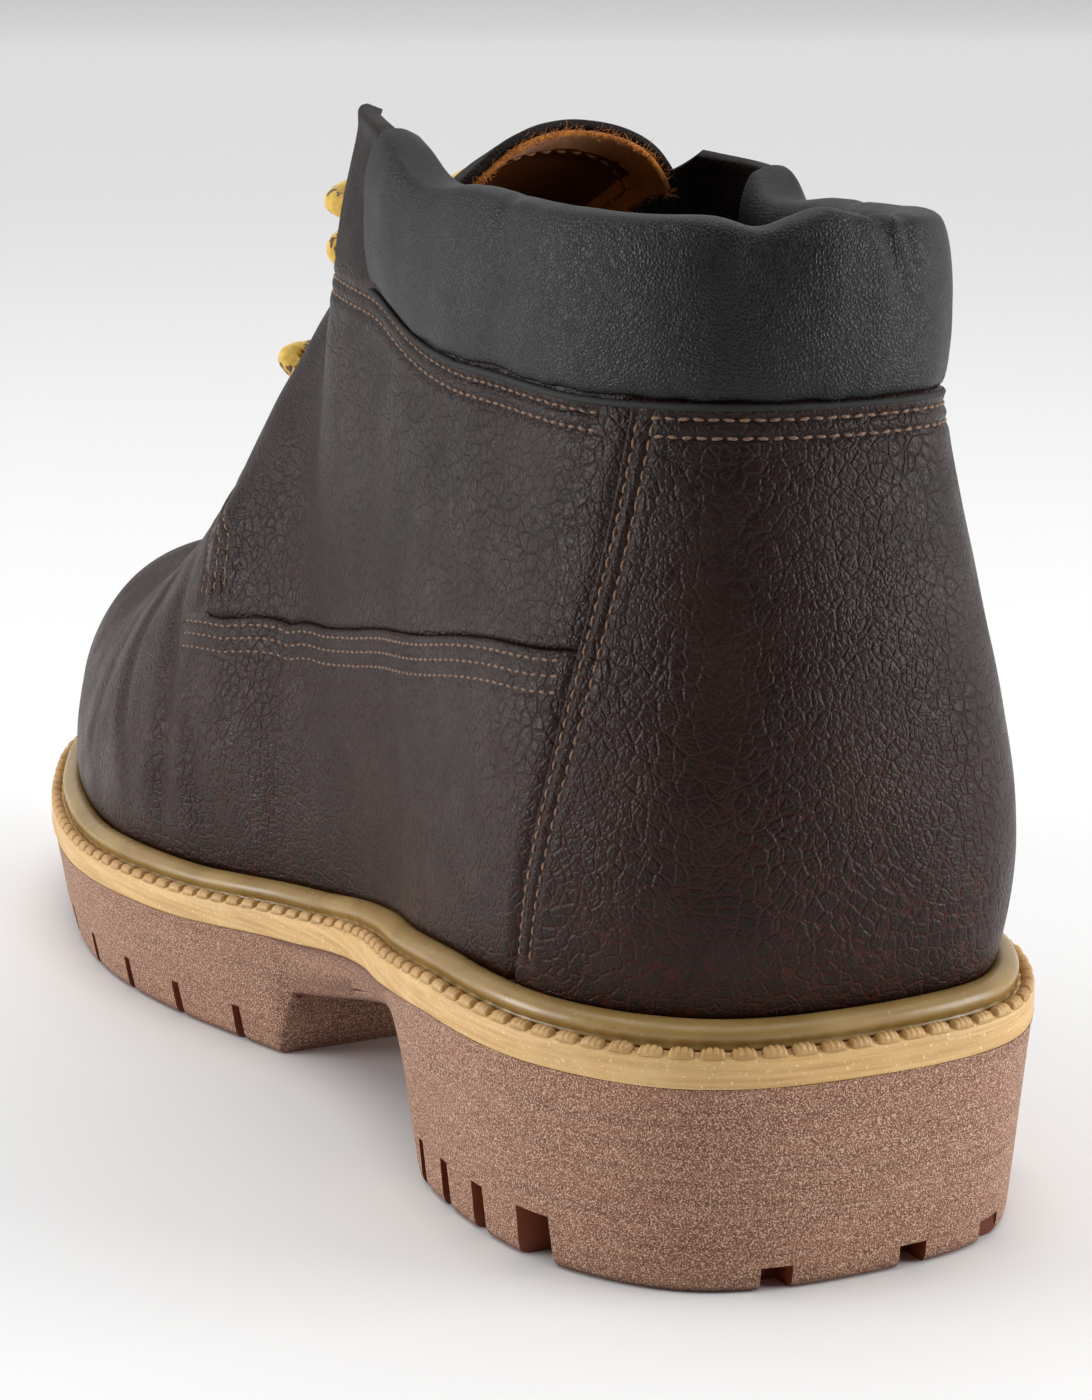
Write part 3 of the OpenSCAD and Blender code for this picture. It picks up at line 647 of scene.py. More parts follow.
class Stitches:
    """All the stitches of one colour, gathered into one mesh."""

    RINGS = SIDES = 6

    def __init__(self, name, material, length=1.7, gap=0.55, radius=0.26):
        self.name, self.material = name, material
        self.length, self.gap, self.radius = length, gap, radius
        self.points, self.faces = [], []

    def row(self, line, normal):
        """line and normal are finely spaced points and outward directions on the finished surface."""
        run = run_along(line) / MM
        pitch = self.length + self.gap
        for number in range(int(run[-1] / pitch)):
            start = number * pitch + self.gap / 2
            share = np.linspace(0, 1, self.RINGS)
            places = start + share * self.length
            mid = sample(line, run, places)
            out = unit(sample(normal, run, places))
            rise = (0.34 * np.sin(np.pi * share) ** 0.6 - 0.26) * MM * self.radius / 0.34
            mid = mid + rise[:, None] * out
            t = unit(np.gradient(mid, axis=0))
            side = unit(np.cross(t, out))
            tilt = 0.07 * MM * (1 if number % 2 else -1) * np.linspace(-1, 1, self.RINGS)
            mid = mid + tilt[:, None] * side
            thick = self.radius * MM * (0.55 + 0.45 * np.sin(np.pi * share) ** 0.5)
            first = len(self.points)
            self.points += list(tube_points(mid, side, out, thick[:, None], self.SIDES))
            self.faces += tube_faces(self.RINGS, self.SIDES, first=first)

    def finish(self, body="root"):
        return piece(self.name, self.points, self.faces, self.material, body)


STITCH_GROOVE = 0.42


def groove(points, lines):
    """Lift that sinks the leather along its stitch rows, in mm."""
    d = distance(points, np.concatenate(lines)) / MM
    return -STITCH_GROOVE * bell(d, 0, 0.62) + 0.12 * bell(d, 1.7, 0.8)


def edge_lift(distance, drop=0.75, radius=1.1):
    """Rounded cut edge: falls by drop within radius mm of the edge."""
    t = 1 - np.clip(distance / radius, 0, 1)
    return -drop * (1 - np.sqrt(np.maximum(1 - t * t, 0)))


def waviness(points, amount=0.28):
    return amount * noise_at(points, 42.0, 3.0) + amount * 0.5 * noise_at(points, 105.0, 9.0)


brown = Stitches("stitches_tan", THREAD)


# ---------------------------------------------------------------- laces: free cords come first
LACE_D = 4
LACE_ROUTE = [[2, 171, 153], [6.5, 169.5, 157], [11, 163, 159.5], [17, 155.5, 158.5],
    [25.5, 149, 155.5], [19.5, 143, 153.5], [12, 149.5, 154], [-2, 159, 151], [-9, 168.5, 151],
    [-17, 170, 145.5], [-12, 164, 140.5], [-8, 168.5, 138], [0, 175.5, 130.5], [10, 180, 121],
    [16.5, 178.5, 119], [21.5, 184, 124], [13, 187, 125], [0, 186.5, 123.5], [-13, 187, 125],
    [-22, 184, 124], [-17, 178.5, 119], [-10, 180, 121], [0, 178.5, 134.5], [8, 168.5, 138],
    [11.5, 164, 140.5], [17, 169.5, 145.5], [9, 168.5, 151], [-2, 162, 155], [-15, 149.5, 153.5],
    [-27, 136, 148], [-33, 139.5, 150], [-20.5, 152, 157], [-12, 162, 159.5], [-7, 168, 157],
    [-4, 170.5, 153.5]]
LOOP_SIDE = [[-6, 174.5, 150], [-11, 175, 147.5], [-17, 175.5, 143], [-23, 176, 136.5],
    [-28, 176.5, 128], [-33, 177, 118.5], [-37.5, 178, 109], [-41, 182.5, 101], [-41, 190.5, 97.5],
    [-37, 197, 101.5], [-32, 198.5, 110.5], [-27.5, 195, 120.5], [-22.5, 188, 130.5],
    [-17.5, 183.5, 138], [-12, 179.5, 143.5], [-7, 176.5, 147.5]]
LOOP_FRONT = [[0.5, 173.5, 147], [2.5, 177, 143.5], [5.5, 181.5, 138.5], [7, 187.5, 132], [7.5, 194, 125],
    [6, 199.5, 119], [1.5, 203, 115], [-5, 203, 114.5], [-10, 199.5, 118.5], [-11, 192.5, 127],
    [-9.5, 186.5, 134.5], [-7, 181, 141], [-3, 176.5, 145]]
END_SIDE = [[-6, 172.5, 154], [-12, 173, 153.5], [-18, 172, 150.5], [-23.5, 167, 143], [-28.5, 163.5, 134],
    [-33, 160.5, 124], [-37.5, 159, 113], [-41.5, 158, 102], [-44.5, 157.5, 92]]
END_FRONT = [[-3, 176, 152], [-9, 181.5, 146.5], [-13.5, 186, 138.5], [-16.5, 190.5, 129.5],
    [-17.5, 195, 120], [-18, 200, 111], [-19.5, 206, 104.5], [-20.5, 213, 99], [-20, 221, 95.5]]
KNOT_AT = [-2, 171, 150]
BRAID_PITCH = 3.2
BRAID_STRANDS = 5


def through(points, spacing=0.4 * MM):
    """Smooth line through given points, resampled at even spacing."""
    p = np.asarray(points, float)
    p = np.vstack([2 * p[0] - p[1], p, 2 * p[-1] - p[-2]])
    fine = []
    for i in range(1, len(p) - 2):
        f = np.linspace(0, 1, 40, endpoint=False)[:, None]
        fine.append(spline(*p[i - 1:i + 3], f))
    fine = np.vstack([*fine, p[-2:-1]])
    run = run_along(fine)
    even = np.linspace(0, run[-1], max(int(run[-1] / spacing), 8) + 1)
    return sample(fine, run, even), run[-1]


def braid(name, line, diameter=LACE_D * MM, sides=20, taper=0, ring=False):
    """Braided tube along a line, with the strands' relief and their flecks."""
    heading = unit(np.roll(line, -1, 0) - np.roll(line, 1, 0)) if ring else unit(np.gradient(line, axis=0))
    across = np.zeros_like(line)
    side = np.array([0.3, 0.4, 0.8])
    for i, t in enumerate(heading):
        side = unit(side - (side @ t) * t)
        across[i] = side
    other = np.cross(heading, across)
    run = run_along(line) / MM
    angle = np.arange(sides) * 2 * math.pi / sides
    u, w = np.meshgrid(run / BRAID_PITCH, angle / (2 * math.pi) * BRAID_STRANDS, indexing="ij")
    one = np.sin(math.pi * (u + w)) ** 2
    two = np.sin(math.pi * (u - w)) ** 2
    relief = np.maximum(one, two)
    radius = diameter / 2 * (0.93 + 0.07 * relief)
    if taper:
        radius = radius * (1 - 0.35 * smoothstep(run, run[-1] - taper, run[-1]))[:, None]
    points = tube_points(line, across, other, radius, sides)
    fleck = ((np.floor(u + w + 0.5) % 4 == 0) & (one >= two)).astype(float)
    obj = piece(name, points, tube_faces(len(line), sides, ring), LACE, slot="lace")
    if len(obj.data.vertices) == len(points):
        obj.data.attributes.new("fleck", "FLOAT", "POINT").data.foreach_set("value",
            fleck.reshape(-1).astype(np.float32))
    return obj


def aglet(name, start, along_line, node):
    """Rolled metal tip: a slightly pinched tube with a rounded end and its lap seam."""
    length, radius = 16 * MM, 1.6 * MM
    profile = [(0, 0.86), (0.03, 0.99), (0.1, 1.0), (0.16, 0.93), (0.22, 1.0), (0.5, 0.98), (0.78, 0.97),
        (0.84, 0.9), (0.9, 0.96), (0.96, 0.88), (0.99, 0.6), (1, 0.25)]
    t = unit(along_line)
    a = unit(np.cross(t, [0.2, 0.9, 0.3]))
    b = np.cross(t, a)
    sides = 24
    share, size = np.array(profile).T[..., None]
    lap = np.where(np.arange(sides) == 3, 1.05, 1)
    ones = np.ones((len(profile), 1))
    points = tube_points(start + t * share * length, ones * a, ones * b, radius * size * lap, sides)
    obj = piece(name, points, tube_faces(len(profile), sides), AGLET, slot="aglet")
    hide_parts(node)
    return obj


def make_laces():
    threaded, _ = through(at(LACE_ROUTE))
    obj = braid("lace_threaded", threaded)
    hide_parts("lace")
    centre = at(KNOT_AT)
    for number, (tilt, radius) in enumerate(((0.35, 3.7), (1.75, 3.5))):
        turn = np.linspace(0, 2 * math.pi, 60, endpoint=False)
        axis_a = np.array([math.cos(tilt), 0.25, math.sin(tilt)])
        axis_b = np.cross(unit(axis_a), [0, 1, 0.2])
        ring = centre + MM * radius * (np.cos(turn)[:, None] * unit(axis_a) + np.sin(turn)[:, None]
            * unit(axis_b)) + MM * np.array([0, 0.7 - 1.3 * number, 0.5 * number])
        braid(f"lace_knot_wrap_{number + 1}", ring, diameter=3.7 * MM, ring=True)
    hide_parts("lace_knot")
    for name, route in (("lace_loop_side", LOOP_SIDE), ("lace_loop_front", LOOP_FRONT)):
        line, length = through(at(route))
        obj = braid(name + "_cord", line)
        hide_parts(name)
    for name, route in (("side", END_SIDE), ("front", END_FRONT)):
        line, length = through(at(route))
        obj = braid(f"lace_end_{name}_cord", line, taper=3)
        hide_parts(f"lace_end_{name}")
        tip = aglet(f"aglet_{name}_tip", line[-1], at(route[-1]) - at(route[-2]), f"aglet_{name}")


make_laces()


# ---------------------------------------------------------------- leather panels
COVER_LIFT, PANEL_LIFT, TUCK_LIFT = 0.75, 0.45, -1.1
LEATHER_T, LINING_T = 1.7, 1.2
COVER_FOOT, COVER_TOP = 2 / 130, 0.803
# Distance in mm by which a panel runs on under its neighbour, and below the foot line
TUCK, FOOT_GAP = 5.5, 2.9
SEAM_ROWS = (2.2, 4.9)
TAB_LOW, TAB_HIGH = 6.85, 6
# Flex creases: [knot, lowest and highest share of the rib, depth in mm, width in mm]
CREASES = [(9.0, 0.05, 0.5, 0.9, 3.2), (9.75, 0.1, 0.62, 0.55, 2.6), (8.35, 0.0, 0.3, 0.5, 3.5),
    (10.5, 0.12, 0.5, 0.35, 2.4), (7.4, 0.02, 0.2, 0.35, 3.5)]


def fold_lift(q, v):
    """Soft flex creases of the vamp behind the toe, in mm."""
    total = np.zeros(np.shape(q))
    k = abs(q)
    for at_k, low, high, depth, width in CREASES:
        centre = at_k + 0.35 * (v - 0.3) + 0.12 * np.sin(9 * v + at_k * 3 + (q < 0))
        d = (k - centre) * per_q(q, v)
        reach = smoothstep(v, low - 0.08, low + 0.08) * (1 - smoothstep(v, high - 0.12, high + 0.12))
        total += reach * depth * (0.45 * bell(d, 2 * width, 1.5 * width) - bell(d, 0, width))
    return total


def vamp_lift(q, v):
    return PANEL_LIFT + waviness(rib(q, v), 0.3) * (1 - 0.5 * smoothstep(abs(q), 10, 11)) + fold_lift(q, v)


def quarter_lift(q, v):
    """The quarter's low front corner stands on top of the vamp."""
    before_edge = (8.2 - abs(q)) * per_q(q, v)
    corner = bell(before_edge, 0, 7) * (1 - smoothstep(v, 0.5, 0.62))
    return waviness(rib(q, v), 0.3) + 2.0 * corner


def cover_lift(q, v):
    return COVER_LIFT + waviness(rib(q, v), 0.25)


def sew_on(rows, lift):
    """Sews rows on a surface raised by lift(q, v) and returns their lines on the bare surface."""
    lines = []
    for q, v in rows:
        brown.row(skin(q, v, lift(q, v) - STITCH_GROOVE + 0.08), outward(q, v))
        lines.append(rib(q, v))
    return lines


def foot_v(q):
    """Share of the rib at which a panel starts, behind the welt's bead."""
    return -FOOT_GAP / per_v(q, np.zeros(q.shape))


def crowd(t, low=True, high=True, power=1.6):
    """Spreads grid lines so that they crowd at the ends of 0 to 1."""
    if low and high:
        return mix(t, 0.5 - 0.5 * np.cos(np.pi * t), 0.65)
    return 1 - (1 - t) ** power if high else t**power


def shade_line_tube(name, q, v, lift, radius):
    """Thin black tube along a seam, sunk halfway into the leather: a dark line standing for the seam's
    shadow, painted shade.
    """
    line, out = skin(q, v, np.full(q.shape, lift)), outward(q, v)
    side = unit(np.cross(unit(np.gradient(line, axis=0)), out))
    sides = 8
    uneven = 1 + 0.15 * noise_at(line, 300.0, 6.0)[:, None]
    points = tube_points(line, side, out, radius * MM * uneven, sides)
    piece(name, points, tube_faces(len(line), sides), SHADE_LINE_BLACK, slot="leather")


def heel_cover():
    rows = [side_row(side, inset) for side in (-1, 1) for inset in (1.6, 4.3)]
    rows += [top_row(-seam_q(COLLAR_V) + 0.1, seam_q(COLLAR_V) - 0.1, drop) for drop in SEAM_ROWS]
    lines = sew_on(rows, cover_lift)
    m, n = 130, 140
    a, b = grid(m, n)
    a, b = crowd(a), crowd(b, low=False)
    seam = seam_q(COVER_TOP * b)
    q = mix(-seam, seam, a)
    v = mix(foot_v(q), COVER_TOP, b)
    flat = rib(q, v)
    lift = cover_lift(q, v) + groove(flat, lines)
    edge = edge_lift(rim_distance(flat, np.ones((m, n), bool)))
    lift = lift + np.where((v < COVER_FOOT) | (v > 0.78), 0, edge) - 1.5 * smoothstep(v, 0.787, COVER_TOP)
    inner = skin(q, v, np.full(q.shape, COVER_LIFT - LEATHER_T))
    obj = shell("heel_cover_panel", skin(q, v, lift), inner, LEATHER, slot="leather")
    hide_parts("counter_cover")


def without_holes(points, present, side, first, last):
    """Leaves out the cells inside the eyelets' holes."""
    centre = (points[:-1, :-1] + points[1:, 1:] + points[1:, :-1] + points[:-1, 1:]) / 4
    for q, v in EYELET_SEATS[first:last + 1]:
        seat = rib(side * q, v)
        present &= np.linalg.norm(centre - seat, axis=-1) > EYELET_HOLE * MM
    return present


def quarter(side, name):
    rows = [top_row(side * 1.9, side * 6.6, drop) for drop in SEAM_ROWS]
    rows += [throat_row(side, inset) for inset in (2.0, 4.7)]
    lines = sew_on(rows, quarter_lift)
    m, n = 150, 110
    a, b = grid(m, n)
    a, b = crowd(a, low=False), crowd(b)
    q0 = mix(seam_q(WING_V), THROAT_Q[0][1], a)
    q1 = mix(seam_q(COLLAR_V), THROAT_Q[-1][1], a)
    low = lookup(q0, WING_LINE) - TUCK / per_v(side * q0, 0.4)
    v = mix(low, lookup(q1, COLLAR_LINE) + 0.012, b) + a**3 * (
        lookup(b, THROAT_V) - mix(THROAT_V[0][1], THROAT_V[-1][1], b))
    edge_q = seam_q(v) - TUCK / per_q(side * seam_q(v), v)
    q = mix(edge_q, lookup(b, THROAT_Q), a)
    flat = rib(side * q, v)
    beyond_cover = (q - seam_q(v)) * per_q(side * q, v)
    beyond_wing = (v - lookup(q, WING_LINE)) * per_v(side * q, v)
    tuck = np.minimum(smoothstep(beyond_cover, -0.6, 1.0), smoothstep(beyond_wing, -0.6, 1.0))
    present = without_holes(flat, np.ones((m, n), bool), side, 0, 1)
    edge = rim_distance(flat, np.ones((m, n), bool))
    lift = mix(TUCK_LIFT, quarter_lift(side * q, v) + groove(flat, lines) + edge_lift(edge), tuck)
    inner = skin(side * q, v, np.minimum(lift - 0.9, -LEATHER_T))
    obj = shell(name + "_panel", skin(side * q, v, lift), inner, LEATHER, present, slot="leather")
    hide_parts(name)


def vamp():
    rows = [wing_row(side, drop) for side in (-1, 1) for drop in (1.5, 3.9, 6.4)]
    rows += [vamp_row(inset) for inset in (2, 4.6)]
    lines = sew_on(rows, vamp_lift)
    wing_cells, vamp_cells, vamp_rows, wing_rows = 100, 84, 140, 38
    m = wing_cells + vamp_cells
    half = vamp_rows // 2

    def q_at(i, v):
        k0 = seam_q(v) - TUCK / per_q(seam_q(v), v)
        k1 = lookup(v, VAMP_EDGE)
        wing = mix(k0, k1, np.clip(i / wing_cells, 0, 1))
        front = mix(k1, KNOTS, crowd(np.clip((i - wing_cells) / vamp_cells, 0, 1), high=False, power=1.2))
        return np.where(i <= wing_cells, wing, front)

    def v_at(k, r):
        vw = lookup(k, WING_LINE)
        lower = mix(foot_v(k), vw, 1 - (1 - np.clip(r / wing_rows, 0, 1)) ** 1.35)
        upper = mix(vw, 1, np.clip((r - wing_rows) / (half - wing_rows), 0, 1) ** 1.3)
        return np.where(r <= wing_rows, lower, upper)

    i, j = np.meshgrid(np.arange(m + 1), np.arange(vamp_rows + 1), indexing="ij")
    r = np.minimum(j, vamp_rows - j)
    k = q_at(i, v_at(q_at(i, 0.4 + 0 * i), r))
    v = v_at(k, r)
    q = np.where(j < half, -k, k)
    ci, cj = np.meshgrid(np.arange(m), np.arange(vamp_rows), indexing="ij")
    present = (ci >= wing_cells) | (np.minimum(cj, vamp_rows - 1 - cj) < wing_rows)
    flat = rib(q, v)
    edge = rim_distance(flat, present, closed=True)
    edge = np.where(v < 0.03, 9, edge)
    beyond = (k - seam_q(v)) * per_q(q, v)
    lift = vamp_lift(q, v) + groove(flat, lines) + edge_lift(edge)
    lift = mix(TUCK_LIFT, lift, smoothstep(beyond, -0.6, 1.2))
    obj = shell("vamp_panel", skin(q, v, lift), skin(q, v, np.minimum(lift - 0.5, PANEL_LIFT - 1.5)), LEATHER,
        present, closed=True, slot="leather")
    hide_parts("vamp")


def tab(side, name):
    """Eyelet tab with a folded top edge and a row of stitches down its front."""
    def lift_at(q, v):
        return 0.25 + waviness(rib(q, v), 0.2)

    b = np.linspace(0.03, 0.93, 120)
    rows = []
    for inset in (1.6, 4.2):
        front = mix(TAB_LOW, TAB_HIGH, b)
        q = side * front
        v = mix(lookup(front, COLLAR_LINE), 1, b)
        rows.append((q - side * inset / per_q(q, np.minimum(v, 0.98)), v))
    lines = sew_on(rows, lift_at)
    m, n = 60, 70
    a, b = grid(m, n)
    front = mix(TAB_LOW, TAB_HIGH, b)
    v = mix(lookup(mix(5, front, a), COLLAR_LINE) + 0.004, 1, b)
    q = side * mix(COLLAR_END + 0.02, front, a)
    flat = rib(q, v)
    edge = rim_distance(flat, np.ones((m, n), bool))
    fold = bell((1 - v) * per_v(q, 0.95), 0, 2.6)
    lift = lift_at(q, v) + groove(flat, lines) + fold + edge_lift(edge, 0.9, 1.4)
    present = without_holes(flat, np.ones((m, n), bool), side, 2, 2)
    inner = skin(q, v, np.minimum(-1.6, lift - 1) - fold * 0.9)
    obj = shell(name + "_tab", skin(q, v, lift), inner, LEATHER_TONGUE, present, slot="leather")
    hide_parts(name)


def linings():
    """Lining sheets, which lie deeper where the toe cap and the heel stiffener are behind the leather."""
    def sheet(name, q, v, wave, node, **more):
        k = abs(q)
        deep = 2.8 + 2 * (1 - np.clip((k - 2.4) / 0.8, 0, 1)) + 2.3 * np.clip((k - 10) / 0.6, 0, 1)
        outer, inner = skin(q, v, wave - deep), skin(q, v, wave - deep - LINING_T)
        obj = shell(name, outer, inner, LINING, slot="lining", **more)
        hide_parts(node)

    a, b = grid(120, 50)
    q = mix(-9.2, 9.2, a)
    top = np.where(abs(q) < 5.5, 0.775, mix(0.775, 0.5, (abs(q) - 5.5) / 3.7))
    v = mix(0.02, top, b)
    sheet("quarter_lining_sheet", q, v, waviness(rib(q, v), 0.25), "quarter_lining")
    a, b = grid(60, 80)
    w = 2 * b - 1
    k = mix(9.3, KNOTS, a)
    q = np.where(w < 0, -k, k)
    v = mix(0.02, 1, 1 - abs(w))
    sheet("vamp_lining_sheet", q, v, 0, "vamp_lining", closed=True)


# Black tubes along the collar seam and the quarters' front edges: painted shade in those seams and gaps.
around = np.linspace(-COLLAR_END, COLLAR_END, 500)
shade_line_tube("collar_shade_line", around, lookup(abs(around), COLLAR_LINE) - 0.004, 0.55, 0.6)
for side, name in ((1, "medial"), (-1, "lateral")):
    up_front = np.linspace(0, 0.97, 260)
    shade_line_tube(f"throat_shade_line_{name}", side * lookup(up_front, THROAT_Q), lookup(up_front, THROAT_V), -0.5, 0.7)
heel_cover()
quarter(1, "quarter_medial")
quarter(-1, "quarter_lateral")
vamp()
tab(1, "eyestay_medial")
tab(-1, "eyestay_lateral")
linings()


# ---------------------------------------------------------------- padded collar
COLLAR_SECTION = [[0.788, -0.6, 0], [0.84, -2.9, 0], [0.9, -3.8, 0], [0.96, -3.4, 0], [1, -1.2, 1.5],
    [1, 2.5, 2], [1, 6, 0.5], [0.95, 8, 0], [0.88, 7.5, 0], [0.82, 4.5, 0]]
COLLAR_ROUND, COLLAR_ALONG = 30, 170
# Creases across the pad: [knot, width in knots, depth in mm, lean]
COLLAR_FOLDS = [(-0.35, 0.055, 1.9, 0.5), (-0.62, 0.05, 0.9, -0.4), (2.9, 0.07, 0.7, 0.6),
    (-2.9, 0.07, 0.9, 0.5)]
COLLAR_PRESSURE, COLLAR_SWELL = 7.0, 3.0
CORNER_KNOT, CORNER_WIDTH, CORNER_DROP = 4.15, 0.55, 3


def collar_points(inset):
    """Grid of points: along the collar, then round its section."""
    knots = np.array(COLLAR_SECTION, float)
    count = len(knots)
    t = np.linspace(0, count, COLLAR_ROUND, endpoint=False)
    i = np.floor(t).astype(int)
    f = (t - i)[:, None]
    section = spline(*(knots[(i + n) % count] for n in (-1, 0, 1, 2)), f)
    knots_along = np.linspace(-COLLAR_END, COLLAR_END, COLLAR_ALONG + 1)
    q, share = np.meshgrid(knots_along, section[:, 0], indexing="ij")
    lift = -np.broadcast_to(section[:, 1], q.shape)
    v = np.minimum(share + (lookup(abs(q), COLLAR_LINE) - COLLAR_V) * (1 - share) * 5, 1)
    points = skin(q, v, lift)
    points[..., 2] += section[:, 2] * MM
    middle = skin(q, np.full(q.shape, 0.905), np.full(q.shape, -1.5))
    return points - inset * MM * unit(points - middle), q


def inflate(obj, pressure, cap, held):
    """Cloth simulation of a padded cover. No point moves more than cap, and held points stay."""
    scene = bpy.context.scene
    group = obj.vertex_groups.new(name="held")
    for index, weight in held.items():
        group.add([index], weight, "REPLACE")
    cloth = obj.modifiers.new("cloth", "CLOTH")
    s = cloth.settings
    s.use_pressure = True
    s.uniform_pressure_force = pressure
    s.effector_weights.gravity = 0
    s.vertex_group_mass = "held"
    s.quality = 6
    s.mass = 0.2
    s.tension_stiffness = s.compression_stiffness = 12
    s.shear_stiffness = 6
    s.bending_stiffness = 0.6
    cloth.collision_settings.use_collision = False
    cloth.point_cache.frame_start, cloth.point_cache.frame_end = 1, 20
    start = np.array([v.co for v in obj.data.vertices])
    for number in range(1, 21):
        scene.frame_set(number)
    shaped = obj.evaluated_get(bpy.context.evaluated_depsgraph_get())
    moved = np.array([v.co for v in shaped.data.vertices]) - start
    length = np.linalg.norm(moved, axis=1, keepdims=True)
    moved *= np.minimum(1, cap / np.maximum(length, 1e-9))
    obj.modifiers.remove(cloth)
    scene.frame_set(1)
    obj.vertex_groups.clear()
    return start + moved


def collar():
    points, q = collar_points(0.6)
    rings, sides = points.shape[:2]
    flat = points.reshape(-1, 3)
    obj = piece("collar_pad", flat, tube_faces(rings, sides), COLLAR, slot="collar")
    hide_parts("collar_cover", "collar_foam")
    held = {}
    for i in range(rings):
        for j in range(sides):
            if j in (0, 1, sides - 1, sides - 2, sides - 3) or i < 2 or i > rings - 3:
                held[i * sides + j] = 1.0
    target, _ = collar_points(0)
    target = target.reshape(-1, 3)
    moved = inflate(obj, COLLAR_PRESSURE, COLLAR_SWELL * MM, held)
    q = q.reshape(-1)
    section = np.tile(np.arange(sides), rings) / sides
    high = bell(section, 0.45, 0.16)
    out = unit(moved - np.repeat(flat.reshape(rings, sides, 3).mean(1), sides, axis=0))
    change = -1.7 * bell(q, 0.65, 0.22) * high + 1.3 * bell(q, 0.12, 0.22) * high
    for knot, width, depth, lean in COLLAR_FOLDS:
        change -= depth * bell(q, knot + lean * (section - 0.45), width) * bell(section, 0.4, 0.13)
    change += 0.2 * bell(section, 0, 0.07) * np.sin(q * 14 + 1.5 * np.sin(q * 5))
    change += 0.5 * noise_at(moved, 55.0, 5.0) + 0.2 * noise_at(moved, 160.0, 2.0)
    moved = moved + out * (change * MM)[:, None]
    moved[:, 2] -= CORNER_DROP * MM * bell(abs(q), CORNER_KNOT, CORNER_WIDTH) * high
    obj.data.vertices.foreach_set("co", moved.astype(np.float32).ravel())
    obj.data.update()
    subdivide(obj)


collar()


# ---------------------------------------------------------------- tongue
TONGUE_LINE = [[0, 0, 204, 94], [0.15, 0, 193, 103], [0.3, 0, 180, 116], [0.48, 0, 168, 132],
    [0.64, -2, 157, 147], [0.78, -4, 145, 157], [0.9, -8, 135, 166], [1, -11, 126, 170.5]]
TONGUE_R, TONGUE_HALF = 26, 50
TONGUE_WIDER = [[0.81, 0], [0.95, 1]]
FIBRES = 900
# Depth of the lining's inner face, its inset, and its seam's and raw edge's distances from the rim, in mm
LINING_FACE, LINING_INSET, SEAM_INSET, EDGE_BAND = 3.15, 0.6, 4.0, 5.5


def tongue_middle(b):
    return np.stack([lookup(b, [[row[0], row[c]] for row in TONGUE_LINE]) for c in (1, 2, 3)], -1)


def tongue_point(b, a, depth):
    low, high = tongue_middle(np.maximum(b - 0.08, 0)), tongue_middle(np.minimum(b + 0.08, 1))
    t = high - low
    t[..., 0] = 0
    t = unit(t)
    n = np.stack([np.zeros(b.shape), t[..., 2], -t[..., 1]], -1)
    turn = np.radians(a)[..., None]
    full = (TONGUE_R + 1.5 * lookup(b, TONGUE_WIDER))[..., None]
    r = full - depth[..., None]
    return at(tongue_middle(b) - full * n + r * (np.sin(turn) * [1, 0, 0] + np.cos(turn) * n))


def tongue_half(b):
    """Half of the tongue's arc, in degrees."""
    return TONGUE_HALF + 4.5 * lookup(b, TONGUE_WIDER)


def softness(flat):
    """Unevenness of the tongue's soft leather, in mm."""
    return 0.35 * noise_at(flat, 60.0, 7.0) + 0.15 * noise_at(flat, 170.0, 1.0)


def tongue_layer(name, near, far, inset, material, node_names, slot):
    m, n = 130, 84
    share, w = np.meshgrid(np.linspace(0, 1, m + 1), np.linspace(-1, 1, n + 1), indexing="ij")
    top = 1 - 0.055 * abs(w) ** 4 - inset * 0.006
    b = mix(inset * 0.01, top, crowd(share, low=False, power=1.3))
    a = -w * (tongue_half(b) - inset * 1.4)
    flat = tongue_point(b, a, np.zeros(b.shape))
    edge = rim_distance(flat, np.ones((m, n), bool))
    soft = softness(flat)
    round_off = -edge_lift(edge, 0.45, 0.8)
    outer = tongue_point(b, a, near + soft + round_off)
    inner = tongue_point(b, a, far + soft - round_off)
    obj = shell(name, outer, inner, material, body=None, slot=slot)
    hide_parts(*node_names)
    return obj, inner


def paint_band(obj, line_points, width):
    """Gives the faces within width of the edge the second material."""
    near = distance(np.array([face.center for face in obj.data.polygons]), line_points) < width
    for face, inside in zip(obj.data.polygons, near):
        if inside:
            face.material_index = 1


def hairs(name, places, directions, material, length=1.8, width=0.07, body="root"):
    """Short loose fibres of a raw edge."""
    rng = np.random.default_rng(11)
    points, faces = [], []
    for p, d in zip(places, directions):
        size = length * MM * rng.uniform(0.4, 1.1)
        bend = rng.normal(0, 0.55, 3)
        side = unit(np.cross(d, rng.normal(0, 1, 3)))
        other = np.cross(unit(d), side)
        first = len(points)
        for f in (0, 0.4, 0.75, 1):
            mid = p + d * size * f + bend * size * f * f * 0.6
            r = width * MM * (1 - 0.8 * f)
            points += [mid + r * (x * side + y * other) for x, y in ((1, 0), (-0.5, 0.87), (-0.5, -0.87))]
        faces += tube_faces(4, 3, first=first)
    return piece(name, points, faces, material, body)


